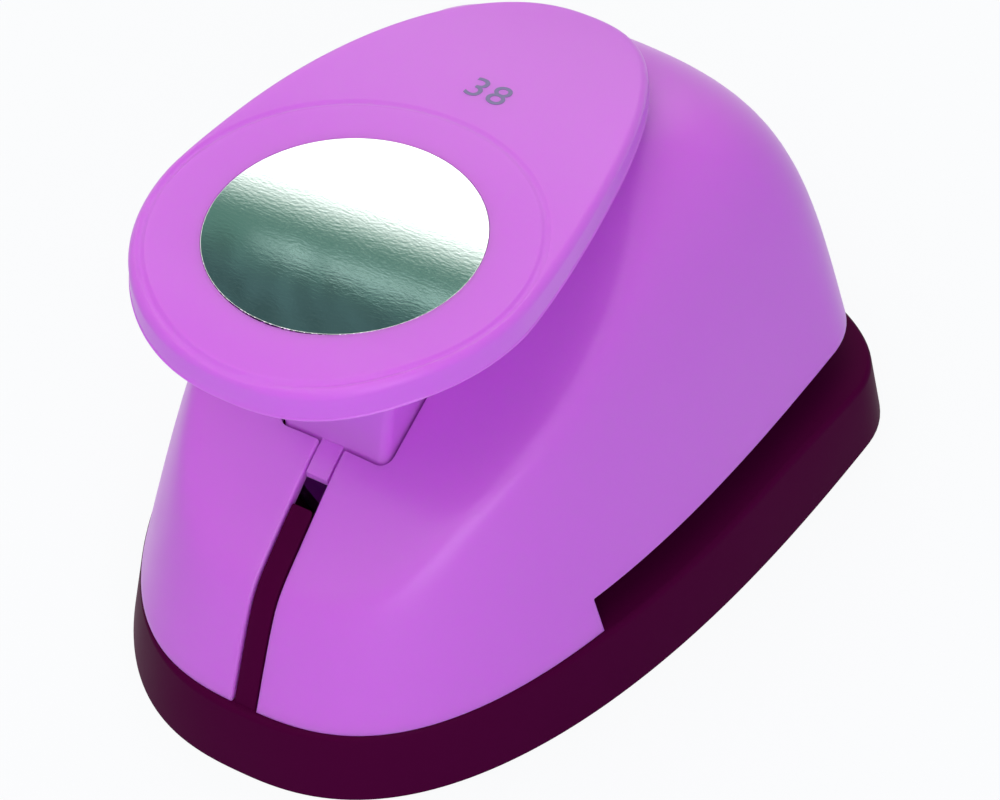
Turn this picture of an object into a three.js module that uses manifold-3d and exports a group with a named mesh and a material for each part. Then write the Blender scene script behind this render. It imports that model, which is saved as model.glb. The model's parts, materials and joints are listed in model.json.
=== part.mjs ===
// Circle craft punch for paper. A thumb press on a steel lever drives a round cutter through a die.
// Millimetres, +Z up. The slotted front faces -Y, paper goes in at the back, +Y.
// The origin is under the middle of the base, on the surface that the punch stands on.
import * as THREE from "three";
import { mergeVertices } from "three/addons/utils/BufferGeometryUtils.js";
import Module from "manifold-3d";

const wasm = await Module();
wasm.setup();

// General allowances
const clearance = 0.3; // between separate pieces that slide, seat or pass through one another
const overrun = 3; // how far a cutter runs past the face that it opens
const fuse = 0.6; // how far the shapes that make one piece run into each other
const samePoint = 1e-5; // points nearer than this are one

// Fineness of the round shapes, in counts
const skinSteps = 60;
const innerSteps = 28;
const domeRows = 14;
const innerRows = 7;
const roundSteps = 32;
const smallSteps = 8;
const cornerSteps = 3;

// Punched circle. Lengths along Y are measured from its axis unless their note says otherwise
const circleDiameter = 38;

// Steel plates, round at the front and square at the back
const plateBorder = 9; // from the circle out to the edge of the plates
const plateTail = 8; // how much further the plates reach back than to the sides
const plateCorner = 4;
const diePlateThickness = 2;
const paperGap = 1.2;
const guideThickness = 2;
const stopBorder = 2; // from the circle out to the curved spacer
const stopHalfAngle = 70 * (Math.PI / 180);

// Base: an egg-shaped tray that is widest near the back
const baseFrontMargin = 35; // from the plates out to the foot of the base
const baseSideMargin = 15.5;
const baseBackMargin = 15;
const baseTail = 20; // from the widest line to the back
const baseHeight = 10.5;
const baseFlare = 2.2; // how much further out the wall stands at its foot
const baseEdge = 0.8; // rounding of the upper edge
const edgeShares = [[1, 0], [0.3, 0.3], [0, 1]]; // below the top and inward, of that rounding
const baseFoot = 3.2; // thickness of the wall at its foot
const baseWall = 2.2; // of the chute
const deckThickness = 3.5;
const coverThickness = 1.8;
const basePowers = { nose: [0.81, 0.81], tail: [0.89, 0.89] };

// Housing: the moulded dome over the mechanism, its heights from the top of the base
const houseGap = 0.8; // from the edge of the base in to the housing, front and back
const houseSideGap = 1.6; // the same at the sides
const houseHeight = 49.2;
const houseTopBack = 3.8; // behind the axis, the line that the dome closes on
const houseWall = 2;
const throatHeight = 5.7; // clear height under the housing where paper goes in
const throatReach = 24; // how far in front of the axis the throat starts
const domePowers = { nose: [0.75, 0.75], tail: [0.81, 0.81] };
const domeShares = { sideLean: 0.236, noseLean: 0.365, foot: 0.843, top: 0.772 };
const domeCurves = { side: 4.88, nose: 3.51, tail: 4.04 };

// Neck of the thumb press, which goes down into the housing
const neckReach = 33.6; // in front of the axis
const neckLength = 24.6;
const neckHalfWidth = 8.6;
const neckCorner = 2;
const neckWall = 1.3; // in front of the lever
const neckGrip = 7.5; // how far the neck reaches down over the lever
const neckLean = 0.3; // how far the front leans back for each unit of height
const neckGap = 0.5;
const tabLength = 4.4; // the fin on the neck that runs in the slot
const tabHeight = 5; // where it meets the neck
const tabEdge = 0.9; // thickness of its front edge

// Ramp that takes the top off the dome, under the thumb press
const rampFootInset = 6.5; // behind the front of the housing
const rampFootHeight = 14.6;
const rampKneeAhead = 2.1; // in front of the neck
const rampKneeHeight = 27.4;
const rampCrestBack = 14; // behind the axis
const rampCrestHeight = 49.1;
const rampBlend = 1.1; // softness of the ridge between ramp and dome
const kneeBlend = 0.4; // softness of the bend in the ramp
const rampCrown = 2; // how much lower the ramp lies at the ridges than along the middle
const rampCrownHalfWidth = 26;

// Slot in the housing front and the rib of the base that fills it
const slotWidth = 4;
const slotOpening = 3.7; // the bare stretch between the fin and the rib
const ribSetback = 0.25;
const ribDepth = 3;
const ribTopFall = 4; // how far the top of the rib falls away to its back
const ribSteps = 12;

// Thumb press: an egg-shaped pad, level round its disc, that bends down to its nose and its tail
const pressReach = 25.6; // in front of the axis, the middle of the disc
const pressHeight = 60.45; // over the top of the base
const pressTilt = -2.47 * (Math.PI / 180);
const pressBorder = 9.15; // from the disc's pocket out to the side of the pad
const pressWidest = 0.1; // from the middle of the disc back to the widest line
const pressNose = 28.3;
const pressTail = 59.7;
const pressThickness = 4.6;
const pressTailThickness = 2.6;
const pressLevelFront = 14; // how far the level part goes in front of the disc's middle
const pressLevelBack = 14.8;
const pressNoseBend = 42; // radius of the bend down to the nose
const pressTailBend = 160;
const pressRounding = 2.4;
const pressPowers = { nose: [0.83, 1.06], tail: [0.84, 1.33] };
const padDepthShares = [1, 0.93, 0.5, 0.24, 0.07, 0]; // of the thickness, from the underside up
const padInsetShares = [0.45, 0.12, 0, 0.1, 0.5, 1]; // of the rounding, in the same order
const discThickness = 0.6;

// Cutter, the crosshead that carries it and its button
const cutterLift = 0.4; // the cutter rests this far inside the guide
const cutterLand = 6;
const cutterHeight = 12.9;
const cutterRelief = 4; // from the cutting radius in to the waist
const cutterHollow = 0.8; // the hollow that makes the edge shear
const crossheadThickness = 3;
const crossheadEnd = 4.5; // beyond the guide posts
const crossheadHalfWidth = 8;
const crossheadCorner = 5;
const buttonRadius = 4;
const buttonHeight = 3.7;
const buttonShankRadius = 2;
const buttonShankLength = 9;
const buttonDome = 0.7;

// Guide posts and return springs
const postRadius = 1.75;
const postHeadRadius = 3.2;
const postHeadHeight = 2;
const postTenonRadius = 1.25;
const springWireRadius = 0.5;
const springRadius = 3;
const springTurns = 5;
const springStepsPerTurn = 8;
const springSides = 5;

// Lever: a steel channel on a pin
const pivotHeight = 25.5; // over the top of the base
const pivotPinRadius = 2.5;
const leverHalfWidth = 6.4;
const leverSteel = 1.6;
const leverEyeRadius = 4.5; // half the depth of the channel
const earThickness = 2;
const earGap = 0.4;
const earHalfLength = 6;
const pressPinRadius = 2.5;
const clipThickness = 0.8;
const clipOuterRadius = 4.6;
const clipMouth = 35 * (Math.PI / 180);
const grooveRadius = 1.9;
const pinEndLength = 1.6;

// Screws
const screwRadius = 1.5;
const screwHeadRadius = 2.6;
const screwHeadHeight = 1.5;
const lowHeadHeight = 1.1;
const screwPointLength = 1.2;
const screwHeadShares = [[1, 0], [1, 0.6], [0.8, 1], [0, 1]]; // of the head's radius and height
const recessArm = 1.4;
const recessWidth = 0.5;
const recessDepth = 0.7;
const bossRadius = 3.4;
const plateScrewInset = 3.5; // from the edge of the plates in to their screws and the posts
const plateScrewSpread = 60 * (Math.PI / 180);
const plateScrewEnd = 3;
const dieScrewInset = 4.5; // from the side of the plates
const dieScrewAhead = 12; // in front of the back of the plates
const houseScrewInset = 19; // from the side of the base
const houseScrewReach = 24; // behind the front of the base
const houseScrewBite = 10;
const columnInset = 8; // from the side and from the back of the plates
const columnScrewBite = 10;
const coverScrewInset = 9; // from the side of the base
const coverScrewAhead = 7; // in front of the widest line of the base
const coverScrewReach = 13; // behind the front of the base
const coverScrewLength = 5;
const leverScrewBack = [6, 17]; // behind the front of the lever
const leverScrewBite = 8;

// Heights and places worked out from the sizes above
const circleRadius = circleDiameter / 2;
const boreRadius = circleRadius + clearance;
const stopInnerRadius = circleRadius + stopBorder;
const plateRadius = circleRadius + plateBorder;
const plateLength = plateRadius + plateTail; // behind the axis
const baseFrontReach = plateRadius + baseFrontMargin;
const baseBackReach = plateLength + baseBackMargin;
const baseLength = baseFrontReach + baseBackReach;
const baseHalfWidth = plateRadius + baseSideMargin;
const punchY = (baseFrontReach - baseBackReach) / 2;
const baseWidestY = baseLength / 2 - baseTail;
const baseNose = baseLength - baseTail;
const plateRearY = punchY + plateLength;
const deckFoot = baseHeight - deckThickness;
const throatTop = baseHeight + throatHeight;
const throatStartY = punchY - throatReach;
const dieFoot = baseHeight - diePlateThickness;
const guideFoot = baseHeight + paperGap;
const guideTop = guideFoot + guideThickness;
const cutterFoot = guideFoot + cutterLift;
const crossheadFoot = cutterFoot + cutterHeight;
const crossheadTop = crossheadFoot + crossheadThickness;
const plateScrewRadius = plateRadius - plateScrewInset;
const postX = plateScrewRadius;
const houseHalfWidth = baseHalfWidth - baseFlare - houseSideGap;
const houseReach = baseLength / 2 - baseFlare - houseGap;
const houseTop = baseHeight + houseHeight;
const houseTopY = punchY + houseTopBack;
const neckFrontY = punchY - neckReach;
const neckBackY = neckFrontY + neckLength;
const rampFootY = rampFootInset - houseReach;
const rampFootZ = baseHeight + rampFootHeight;
const rampKneeY = neckFrontY - rampKneeAhead;
const rampKneeZ = baseHeight + rampKneeHeight;
const rampCrestY = punchY + rampCrestBack;
const rampCrestZ = baseHeight + rampCrestHeight;
const ribTopY = neckFrontY - tabLength - slotOpening;
const pressY = punchY - pressReach;
const pressZ = baseHeight + pressHeight;
const pressPinZ = crossheadTop + buttonHeight + clearance + pressPinRadius;
const pivotY = plateRearY - earHalfLength;
const pivotZ = baseHeight + pivotHeight;
const leverTopZ = pivotZ + leverEyeRadius;
const leverFootZ = pivotZ - leverEyeRadius;
const leverFrontY = neckFrontY + neckWall + clearance;
const neckFootZ = leverTopZ - neckGrip;
const earInner = leverHalfWidth + earGap;
const earOuter = earInner + earThickness;
const coverSink = coverThickness / 2;

const baseEgg = {
  halfWidth: baseHalfWidth,
  widestY: baseWidestY,
  nose: baseNose,
  tail: baseTail,
  powers: basePowers,
};
const pressEgg = {
  halfWidth: boreRadius + pressBorder,
  widestY: pressWidest,
  nose: pressNose,
  tail: pressTail,
  powers: pressPowers,
};

function material(color, roughness, metalness) {
  return new THREE.MeshStandardMaterial({ color, roughness, metalness });
}

const pinkPlastic = material(0xc47be0, 0.42, 0);
const maroonPlastic = material(0x46022c, 0.45, 0);
const plateSteel = material(0xb4b7ba, 0.35, 1);
const toolSteel = material(0x8f9296, 0.3, 1);
const zincSteel = material(0xc9ccd0, 0.28, 1);
const springSteel = material(0xa3a7ab, 0.3, 1);
const mirrorFoil = material(0xe6ecea, 0.08, 1);

// Closed shapes for boolean work, and back to geometry
function solid(geometry) {
  const bare = geometry.clone();
  bare.deleteAttribute("normal");
  bare.deleteAttribute("uv");
  const merged = mergeVertices(bare, samePoint);
  const vertProperties = Float32Array.from(merged.attributes.position.array);
  const triVerts = Uint32Array.from(merged.index.array);
  return new wasm.Manifold(new wasm.Mesh({ numProp: 3, vertProperties, triVerts }));
}

function join(solids) {
  return solids.reduce((whole, next) => whole.add(next));
}

function cut(body, tools) {
  return tools.reduce((rest, tool) => rest.subtract(tool), body);
}

function geometryOf(body) {
  const mesh = body.getMesh();
  const geometry = new THREE.BufferGeometry();
  geometry.setAttribute("position", new THREE.BufferAttribute(mesh.vertProperties, 3));
  geometry.setIndex(new THREE.BufferAttribute(mesh.triVerts, 1));
  geometry.computeVertexNormals();
  return geometry;
}

function addPart(parent, name, body, look) {
  const mesh = new THREE.Mesh(geometryOf(body), look);
  mesh.name = name;
  parent.add(mesh);
  return mesh;
}

// Basic shapes, each between named faces
function rod(radius, low, high, x = 0, y = 0, steps = smallSteps) {
  const geometry = new THREE.CylinderGeometry(radius, radius, high - low, steps);
  geometry.rotateX(Math.PI / 2);
  geometry.translate(x, y, (low + high) / 2);
  return solid(geometry);
}

function crossRod(radius, halfLength, y, z, steps = roundSteps / 2) {
  const geometry = new THREE.CylinderGeometry(radius, radius, 2 * halfLength, steps);
  geometry.rotateZ(Math.PI / 2);
  geometry.translate(0, y, z);
  return solid(geometry);
}

function block(low, high) {
  const geometry = new THREE.BoxGeometry(high[0] - low[0], high[1] - low[1], high[2] - low[2]);
  geometry.translate((low[0] + high[0]) / 2, (low[1] + high[1]) / 2, (low[2] + high[2]) / 2);
  return solid(geometry);
}

function plate(shape, low, high, curveSegments = smallSteps) {
  const options = { depth: high - low, bevelEnabled: false, curveSegments };
  const geometry = new THREE.ExtrudeGeometry(shape, options);
  geometry.translate(0, 0, low);
  return solid(geometry);
}

// A flat outline in Y and Z, made thick along X
function slab(shape, low, high, curveSegments = smallSteps) {
  const options = { depth: high - low, bevelEnabled: false, curveSegments };
  const geometry = new THREE.ExtrudeGeometry(shape, options);
  const axes = new THREE.Matrix4().makeBasis(
    new THREE.Vector3(0, 1, 0),
    new THREE.Vector3(0, 0, 1),
    new THREE.Vector3(1, 0, 0),
  );
  geometry.applyMatrix4(axes);
  geometry.translate(low, 0, 0);
  return solid(geometry);
}

function slabOf(points, low, high) {
  return slab(new THREE.Shape(points.map(([y, z]) => new THREE.Vector2(y, z))), low, high);
}

function turned(profile, steps = roundSteps) {
  const geometry = new THREE.LatheGeometry(
    profile.map(([radius, height]) => new THREE.Vector2(radius, height)),
    steps,
  );
  geometry.rotateX(Math.PI / 2);
  return solid(geometry);
}

// A closed skin through rings of equal count, the lowest first, with a cap at each end
function loft(rings, addCap = fanCap) {
  const positions = [];
  const face = (...corners) => corners.forEach((p) => positions.push(p.x, p.y, p.z));
  const count = rings[0].length;
  for (let i = 0; i < count; i += 1) {
    const next = (i + 1) % count;
    for (let k = 0; k + 1 < rings.length; k += 1) {
      face(rings[k][i], rings[k][next], rings[k + 1][next]);
      face(rings[k][i], rings[k + 1][next], rings[k + 1][i]);
    }
  }
  const [start, ...others] = rings[0];
  addCap([start, ...others.reverse()], face);
  addCap(rings[rings.length - 1], face);
  const geometry = new THREE.BufferGeometry();
  geometry.setAttribute("position", new THREE.Float32BufferAttribute(positions, 3));
  return geometry;
}

// Cap of triangles round the middle of a flat ring
function fanCap(ring, face) {
  const sum = ring.reduce((total, p) => total.add(p), new THREE.Vector3());
  const middle = sum.divideScalar(ring.length);
  ring.forEach((p, i) => face(middle, p, ring[(i + 1) % ring.length]));
}

// Cap of strips straight across a ring that bends along its length and is alike on both sides
function stripCap(ring, face) {
  const half = ring.length / 2;
  const across = (i) => ring[(ring.length - i) % ring.length];
  for (let i = 0; i < half; i += 1) {
    if (i + 1 < half) face(ring[i], ring[i + 1], across(i + 1));
    if (i > 0) face(ring[i], across(i + 1), across(i));
  }
}

// Outline of an egg, counter-clockwise from the tip of its nose
function eggRing(egg, inset, z, steps) {
  const ring = [];
  for (let i = 0; i < steps; i += 1) {
    const angle = (2 * Math.PI * i) / steps;
    const across = Math.sin(angle);
    const along = -Math.cos(angle);
    const reach = along < 0 ? egg.nose : egg.tail;
    const [sidePower, endPower] = along < 0 ? egg.powers.nose : egg.powers.tail;
    const x = (egg.halfWidth - inset) * Math.sign(across) * Math.abs(across) ** sidePower;
    const y = egg.widestY + (reach - inset) * Math.sign(along) * Math.abs(along) ** endPower;
    ring.push(new THREE.Vector3(x, y, z));
  }
  return ring;
}

// Outline of a rectangle with round corners
function roundedRectangle(lowX, lowY, highX, highY, corner) {
  const shape = new THREE.Shape();
  shape.moveTo(lowX + corner, lowY);
  shape.absarc(highX - corner, lowY + corner, corner, -Math.PI / 2, 0, false);
  shape.absarc(highX - corner, highY - corner, corner, 0, Math.PI / 2, false);
  shape.absarc(lowX + corner, highY - corner, corner, Math.PI / 2, Math.PI, false);
  shape.absarc(lowX + corner, lowY + corner, corner, Math.PI, 1.5 * Math.PI, false);
  return shape;
}

// Outline of the steel plates: round at the front, straight sides, square back
function plateOutline(margin) {
  const radius = plateRadius + margin;
  const rear = plateRearY + margin;
  const shape = new THREE.Shape();
  shape.moveTo(radius, punchY);
  shape.absarc(radius - plateCorner, rear - plateCorner, plateCorner, 0, Math.PI / 2, false);
  shape.absarc(plateCorner - radius, rear - plateCorner, plateCorner, Math.PI / 2, Math.PI, false);
  shape.absarc(0, punchY, radius, Math.PI, 2 * Math.PI, false);
  return shape;
}

// The lower of two heights, with a soft change from one to the other
function softLower(first, second, blend) {
  const apart = Math.abs(first - second) / blend;
  return Math.min(first, second) - blend * Math.log1p(Math.exp(-apart));
}

function slope(y, lowY, lowZ, highY, highZ) {
  return lowZ + ((highZ - lowZ) * (y - lowY)) / (highY - lowY);
}

// Height of the ramp over a point of the plan: two slopes, crowned along the middle
function rampHeight(x, y) {
  const front = slope(y, rampFootY, rampFootZ, rampKneeY, rampKneeZ);
  const rear = slope(y, rampKneeY, rampKneeZ, rampCrestY, rampCrestZ);
  const crown = rampCrown * (x / rampCrownHalfWidth) ** 2;
  return softLower(front, rear, kneeBlend) - crown;
}

// Ring of the housing at a share of its height, its outside when the inset is zero
function domeRing(share, inset, steps) {
  const narrowing = (lean, curve) => (1 - lean * share) * (1 - share ** curve) ** (1 / curve);
  const reachFront = houseTopY + houseReach - inset;
  const reachBack = houseReach - inset - houseTopY;
  const frontY = houseTopY - reachFront * narrowing(domeShares.noseLean, domeCurves.nose);
  const backY = houseTopY + reachBack * narrowing(0, domeCurves.tail);
  const widest = domeShares.foot + (domeShares.top - domeShares.foot) * share;
  const widestY = frontY + widest * (backY - frontY);
  const egg = {
    halfWidth: (houseHalfWidth - inset) * narrowing(domeShares.sideLean, domeCurves.side),
    widestY,
    nose: widestY - frontY,
    tail: backY - widestY,
    powers: domePowers,
  };
  const height = baseHeight + (houseTop - inset - baseHeight) * share;
  const ring = eggRing(egg, 0, height, steps);
  ring.forEach((p) => {
    p.z = softLower(height, rampHeight(p.x, p.y) - inset, rampBlend);
  });
  return ring;
}

function domeSolid(inset, steps, rows, foot) {
  const rings = [];
  for (let k = 0; k < rows; k += 1) {
    const share = Math.sin(((Math.PI / 2) * k) / rows);
    rings.push(domeRing(share, inset, steps));
  }
  rings[0].forEach((p) => {
    p.z = foot;
  });
  return solid(loft(rings));
}

// Front of the housing on its middle line, at a height
function frontAt(z) {
  const points = [];
  for (let k = 0; k < domeRows; k += 1) {
    points.push(domeRing(Math.sin(((Math.PI / 2) * k) / domeRows), 0, skinSteps)[0]);
  }
  const above = points.findIndex((p, k) => k > 0 && p.z >= z);
  const low = points[above - 1];
  const high = points[above];
  return slope(z, low.z, low.y, high.z, high.y);
}

// Screw with its bearing face at zero, head up and shank down
function screwShape(length, headHeight) {
  const profile = [
    [0, -length],
    [screwRadius, screwPointLength - length],
    [screwRadius, 0],
    ...screwHeadShares.map(([out, up]) => [screwHeadRadius * out, headHeight * up]),
  ];
  const depth = Math.min(recessDepth, headHeight / 2);
  const arm = (halfX, halfY) =>
    block([-halfX, -halfY, headHeight - depth], [halfX, halfY, headHeight + overrun]);
  const recess = arm(recessArm, recessWidth / 2).add(arm(recessWidth / 2, recessArm));
  return turned(profile, smallSteps).subtract(recess);
}

function addScrew(parent, name, x, y, z, length, headHeight, headDown) {
  const screw = addPart(parent, name, screwShape(length, headHeight), zincSteel);
  screw.position.set(x, y, z);
  screw.rotation.x = headDown ? Math.PI : 0;
}

const screwHole = (x, y, low, high) => rod(screwRadius + clearance, low, high, x, y);
const headHole = (x, y, low, high) => rod(screwHeadRadius + clearance, low, high, x, y);

const plateScrews = [-plateScrewSpread, 0, plateScrewSpread].map((turn) => [
  plateScrewRadius * Math.sin(turn),
  punchY - plateScrewRadius * Math.cos(turn),
]);
const pairOf = (x, y) => [
  [-x, y],
  [x, y],
];
const dieScrews = pairOf(plateRadius - dieScrewInset, plateRearY - dieScrewAhead);
const houseScrews = pairOf(baseHalfWidth - houseScrewInset, houseScrewReach - baseLength / 2);
const columns = pairOf(plateRadius - columnInset, plateRearY - columnInset);
const coverScrews = [
  [0, coverScrewReach - baseLength / 2],
  ...pairOf(baseHalfWidth - coverScrewInset, baseWidestY - coverScrewAhead),
];
const leverScrews = leverScrewBack.map((back) => leverFrontY + back);
const sides = ["left", "right"];

// Base tray with its deck, chip chute, screw bosses and the rib that fills the front slot
function baseShell() {
  const flareAt = (z) => (baseFlare * z) / baseHeight;
  const edge = edgeShares.map(([below, inward]) => [baseHeight - baseEdge * below, baseEdge * inward]);
  const rows = [[0, 0], ...edge];
  const outside = solid(
    loft(rows.map(([z, inward]) => eggRing(baseEgg, flareAt(z) + inward, z, skinSteps))),
  );
  const hollow = solid(
    loft([-overrun, deckFoot].map((z) => eggRing(baseEgg, baseFoot, z, skinSteps))),
  );
  const bosses = [...plateScrews, ...dieScrews, ...houseScrews, ...coverScrews].map(([x, y]) =>
    rod(bossRadius, coverThickness, deckFoot + fuse, x, y),
  );
  const chute = rod(stopInnerRadius + baseWall, coverThickness, deckFoot + fuse, 0, punchY, roundSteps);
  const recess = plate(plateOutline(clearance), dieFoot, baseHeight + overrun, roundSteps / 2);
  const holes = [
    rod(stopInnerRadius, -overrun, baseHeight, 0, punchY, roundSteps),
    ...[...plateScrews, ...dieScrews].map(([x, y]) => screwHole(x, y, coverThickness + fuse, baseHeight)),
    ...houseScrews.map(([x, y]) => screwHole(x, y, -overrun, baseHeight + overrun)),
    ...coverScrews.map(([x, y]) => screwHole(x, y, -overrun, coverThickness + coverScrewLength)),
  ];
  const tray = cut(join([outside.subtract(hollow), ...bosses, chute]), [recess, ...holes]);
  return tray.add(slotRib());
}

function slotRib() {
  const top = rampHeight(0, ribTopY) - ribSetback;
  const foot = baseHeight - fuse;
  const edge = (share, height, depth) => {
    const z = foot + (height - foot) * share;
    return [frontAt(Math.max(z, baseHeight)) + depth, z];
  };
  const front = [];
  const back = [];
  for (let k = 0; k <= ribSteps; k += 1) {
    front.push(edge(k / ribSteps, top, ribSetback));
    back.unshift(edge(k / ribSteps, top - ribTopFall, ribSetback + ribDepth));
  }
  const halfWidth = slotWidth / 2 - clearance;
  return slabOf([...back, ...front], -halfWidth, halfWidth);
}

// Flat cover under the base, with the round window that shows the work
function bottomCover() {
  const inset = baseFoot + clearance;
  const sheet = solid(loft([0, coverThickness].map((z) => eggRing(baseEgg, inset, z, skinSteps))));
  return cut(sheet, [
    rod(stopInnerRadius, -overrun, coverThickness + overrun, 0, punchY, roundSteps),
    ...houseScrews.map(([x, y]) => headHole(x, y, -overrun, coverThickness + overrun)),
    ...coverScrews.map(([x, y]) => screwHole(x, y, -overrun, coverThickness + overrun)),
    ...coverScrews.map(([x, y]) => headHole(x, y, -overrun, coverSink)),
  ]);
}

// Housing shell with its slot, neck opening, throat, bosses and columns
function housing() {
  const outside = domeSolid(0, skinSteps, domeRows, baseHeight);
  const inside = domeSolid(houseWall, innerSteps, innerRows, baseHeight - overrun);
  const bossTop = baseHeight + houseScrewBite + overrun;
  const bosses = houseScrews.map(([x, y]) => rod(bossRadius, baseHeight, bossTop, x, y));
  const posts = columns.map(([x, y]) => rod(bossRadius, guideTop, houseTop, x, y));
  const filling = join([...bosses, ...posts]).intersect(outside);
  const slotHalf = slotWidth / 2;
  const farFront = -houseReach - overrun;
  const neckCut = roundedRectangle(
    -neckHalfWidth - neckGap,
    neckFrontY - neckGap,
    neckHalfWidth + neckGap,
    neckBackY + neckGap,
    neckCorner + neckGap,
  );
  return cut(outside.subtract(inside).add(filling), [
    block([-slotHalf, farFront, 0], [slotHalf, neckFrontY, houseTop]),
    plate(neckCut, leverFootZ - overrun, houseTop + overrun, cornerSteps),
    block([-baseHalfWidth, throatStartY, 0], [baseHalfWidth, baseLength, throatTop]).subtract(
      block([-plateRadius, throatStartY - overrun, 0], [plateRadius, plateRearY, throatTop + overrun]),
    ),
    ...houseScrews.map(([x, y]) => screwHole(x, y, 0, baseHeight + houseScrewBite)),
    ...columns.map(([x, y]) => screwHole(x, y, 0, guideTop + columnScrewBite)),
  ]);
}

// Lower plate: the die, let into the deck of the base
function diePlate() {
  return cut(plate(plateOutline(0), dieFoot, baseHeight, roundSteps / 2), [
    rod(boreRadius, 0, baseHeight + overrun, 0, punchY, roundSteps),
    ...[...plateScrews, ...dieScrews].map(([x, y]) => screwHole(x, y, 0, baseHeight + overrun)),
    ...dieScrews.map(([x, y]) => headHole(x, y, baseHeight - lowHeadHeight, baseHeight + overrun)),
  ]);
}

// Curved spacer between the plates, which stops the paper
function paperStop() {
  const start = -Math.PI / 2 - stopHalfAngle;
  const end = -Math.PI / 2 + stopHalfAngle;
  const shape = new THREE.Shape();
  shape.absarc(0, punchY, plateRadius, start, end, false);
  shape.absarc(0, punchY, stopInnerRadius, end, start, true);
  const ring = plate(shape, baseHeight, guideFoot, roundSteps / 2);
  return cut(ring, plateScrews.map(([x, y]) => screwHole(x, y, 0, guideTop)));
}

// Upper plate, which guides the cutter and carries the lever between two ears
function guideBracket() {
  const shape = new THREE.Shape();
  shape.moveTo(pivotY + earHalfLength, guideFoot + fuse);
  shape.absarc(pivotY, pivotZ, earHalfLength, 0, Math.PI, false);
  shape.lineTo(pivotY - earHalfLength, guideFoot + fuse);
  const ears = [-earOuter, earInner].map((x) => slab(shape, x, x + earThickness));
  const sheet = plate(plateOutline(0), guideFoot, guideTop, roundSteps / 2);
  return cut(join([sheet, ...ears]), [
    rod(boreRadius, 0, guideTop + overrun, 0, punchY, roundSteps),
    crossRod(pivotPinRadius + clearance, earOuter + overrun, pivotY, pivotZ),
    ...plateScrews.map(([x, y]) => screwHole(x, y, 0, guideTop + overrun)),
    ...columns.map(([x, y]) => screwHole(x, y, 0, guideTop + overrun)),
    ...columns.map(([x, y]) => headHole(x, y, 0, guideFoot + lowHeadHeight)),
    ...[-postX, postX].map((x) => rod(postTenonRadius + clearance, 0, guideTop + overrun, x, punchY)),
  ]);
}

// Cutter with its foot at zero
function punchCutter() {
  const waistRadius = circleRadius - cutterRelief;
  const body = turned([
    [0, 0],
    [circleRadius, 0],
    [circleRadius, cutterLand],
    [waistRadius, cutterLand],
    [waistRadius, cutterHeight],
    [0, cutterHeight],
  ]);
  const hollowRadius = (circleRadius ** 2 + cutterHollow ** 2) / (2 * cutterHollow);
  const shape = new THREE.Shape();
  const reach = Math.asin((circleRadius + overrun) / hollowRadius);
  const middle = cutterHollow - hollowRadius;
  shape.absarc(0, middle, hollowRadius, Math.PI / 2 - reach, Math.PI / 2 + reach, false);
  const hollow = slab(shape, -circleRadius - overrun, circleRadius + overrun);
  const bore = rod(buttonShankRadius + clearance, cutterHeight - buttonShankLength, cutterHeight + overrun);
  return cut(body, [hollow, bore]);
}

// Crosshead with its foot at zero, bored for the button and the two guide posts
function crosshead() {
  const halfLength = postX + crossheadEnd;
  const shape = roundedRectangle(
    -halfLength,
    -crossheadHalfWidth,
    halfLength,
    crossheadHalfWidth,
    crossheadCorner,
  );
  const through = crossheadThickness + overrun;
  return cut(plate(shape, 0, crossheadThickness, cornerSteps), [
    rod(buttonShankRadius + clearance, -overrun, through),
    ...[-postX, postX].map((x) => rod(postRadius + clearance, -overrun, through, x)),
  ]);
}

// Button that takes the push, with its shank through the crosshead into the cutter
function pressButton() {
  const bite = crossheadThickness + buttonShankLength - clearance;
  return turned([
    [0, -bite],
    [buttonShankRadius, -bite],
    [buttonShankRadius, 0],
    [buttonRadius, 0],
    [buttonRadius, buttonHeight - buttonDome],
    [buttonRadius - buttonDome, buttonHeight],
    [0, buttonHeight],
  ], smallSteps * 2);
}

// Guide post with its shoulder at zero
function guidePost() {
  const headFoot = crossheadTop + clearance - guideTop;
  return turned([
    [0, -guideThickness],
    [postTenonRadius, -guideThickness],
    [postTenonRadius, 0],
    [postRadius, 0],
    [postRadius, headFoot],
    [postHeadRadius, headFoot],
    [postHeadRadius, headFoot + postHeadHeight],
    [0, headFoot + postHeadHeight],
  ], smallSteps);
}

// Return spring as one open helix standing on zero
const springHeight = crossheadFoot - guideTop - clearance;

function springPoint(turns) {
  const rise = springHeight - 2 * springWireRadius;
  const angle = 2 * Math.PI * turns;
  return new THREE.Vector3(
    springRadius * Math.cos(angle),
    springRadius * Math.sin(angle),
    springWireRadius + (rise * turns) / springTurns,
  );
}

function returnSpring() {
  const steps = springTurns * springStepsPerTurn;
  const rings = [];
  for (let k = 0; k <= steps; k += 1) {
    const turns = k / springStepsPerTurn;
    const centre = springPoint(turns);
    const outward = new THREE.Vector3(centre.x, centre.y, 0).normalize();
    const downward = new THREE.Vector3(0, 0, -1);
    const ring = [];
    for (let i = 0; i < springSides; i += 1) {
      const angle = (2 * Math.PI * i) / springSides;
      const point = centre.clone();
      point.addScaledVector(outward, springWireRadius * Math.cos(angle));
      point.addScaledVector(downward, springWireRadius * Math.sin(angle));
      ring.push(point);
    }
    rings.push(ring);
  }
  return solid(loft(rings));
}

// Least gap between one turn of the spring and the rest of it
function springGap() {
  let least = Infinity;
  const samples = springTurns * springStepsPerTurn;
  for (let a = 0; a <= samples; a += 1) {
    for (let b = a + springStepsPerTurn / 2; b <= samples; b += 1) {
      const first = springPoint(a / springStepsPerTurn);
      const second = springPoint(b / springStepsPerTurn);
      least = Math.min(least, first.distanceTo(second) - 2 * springWireRadius);
    }
  }
  return least;
}

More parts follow.
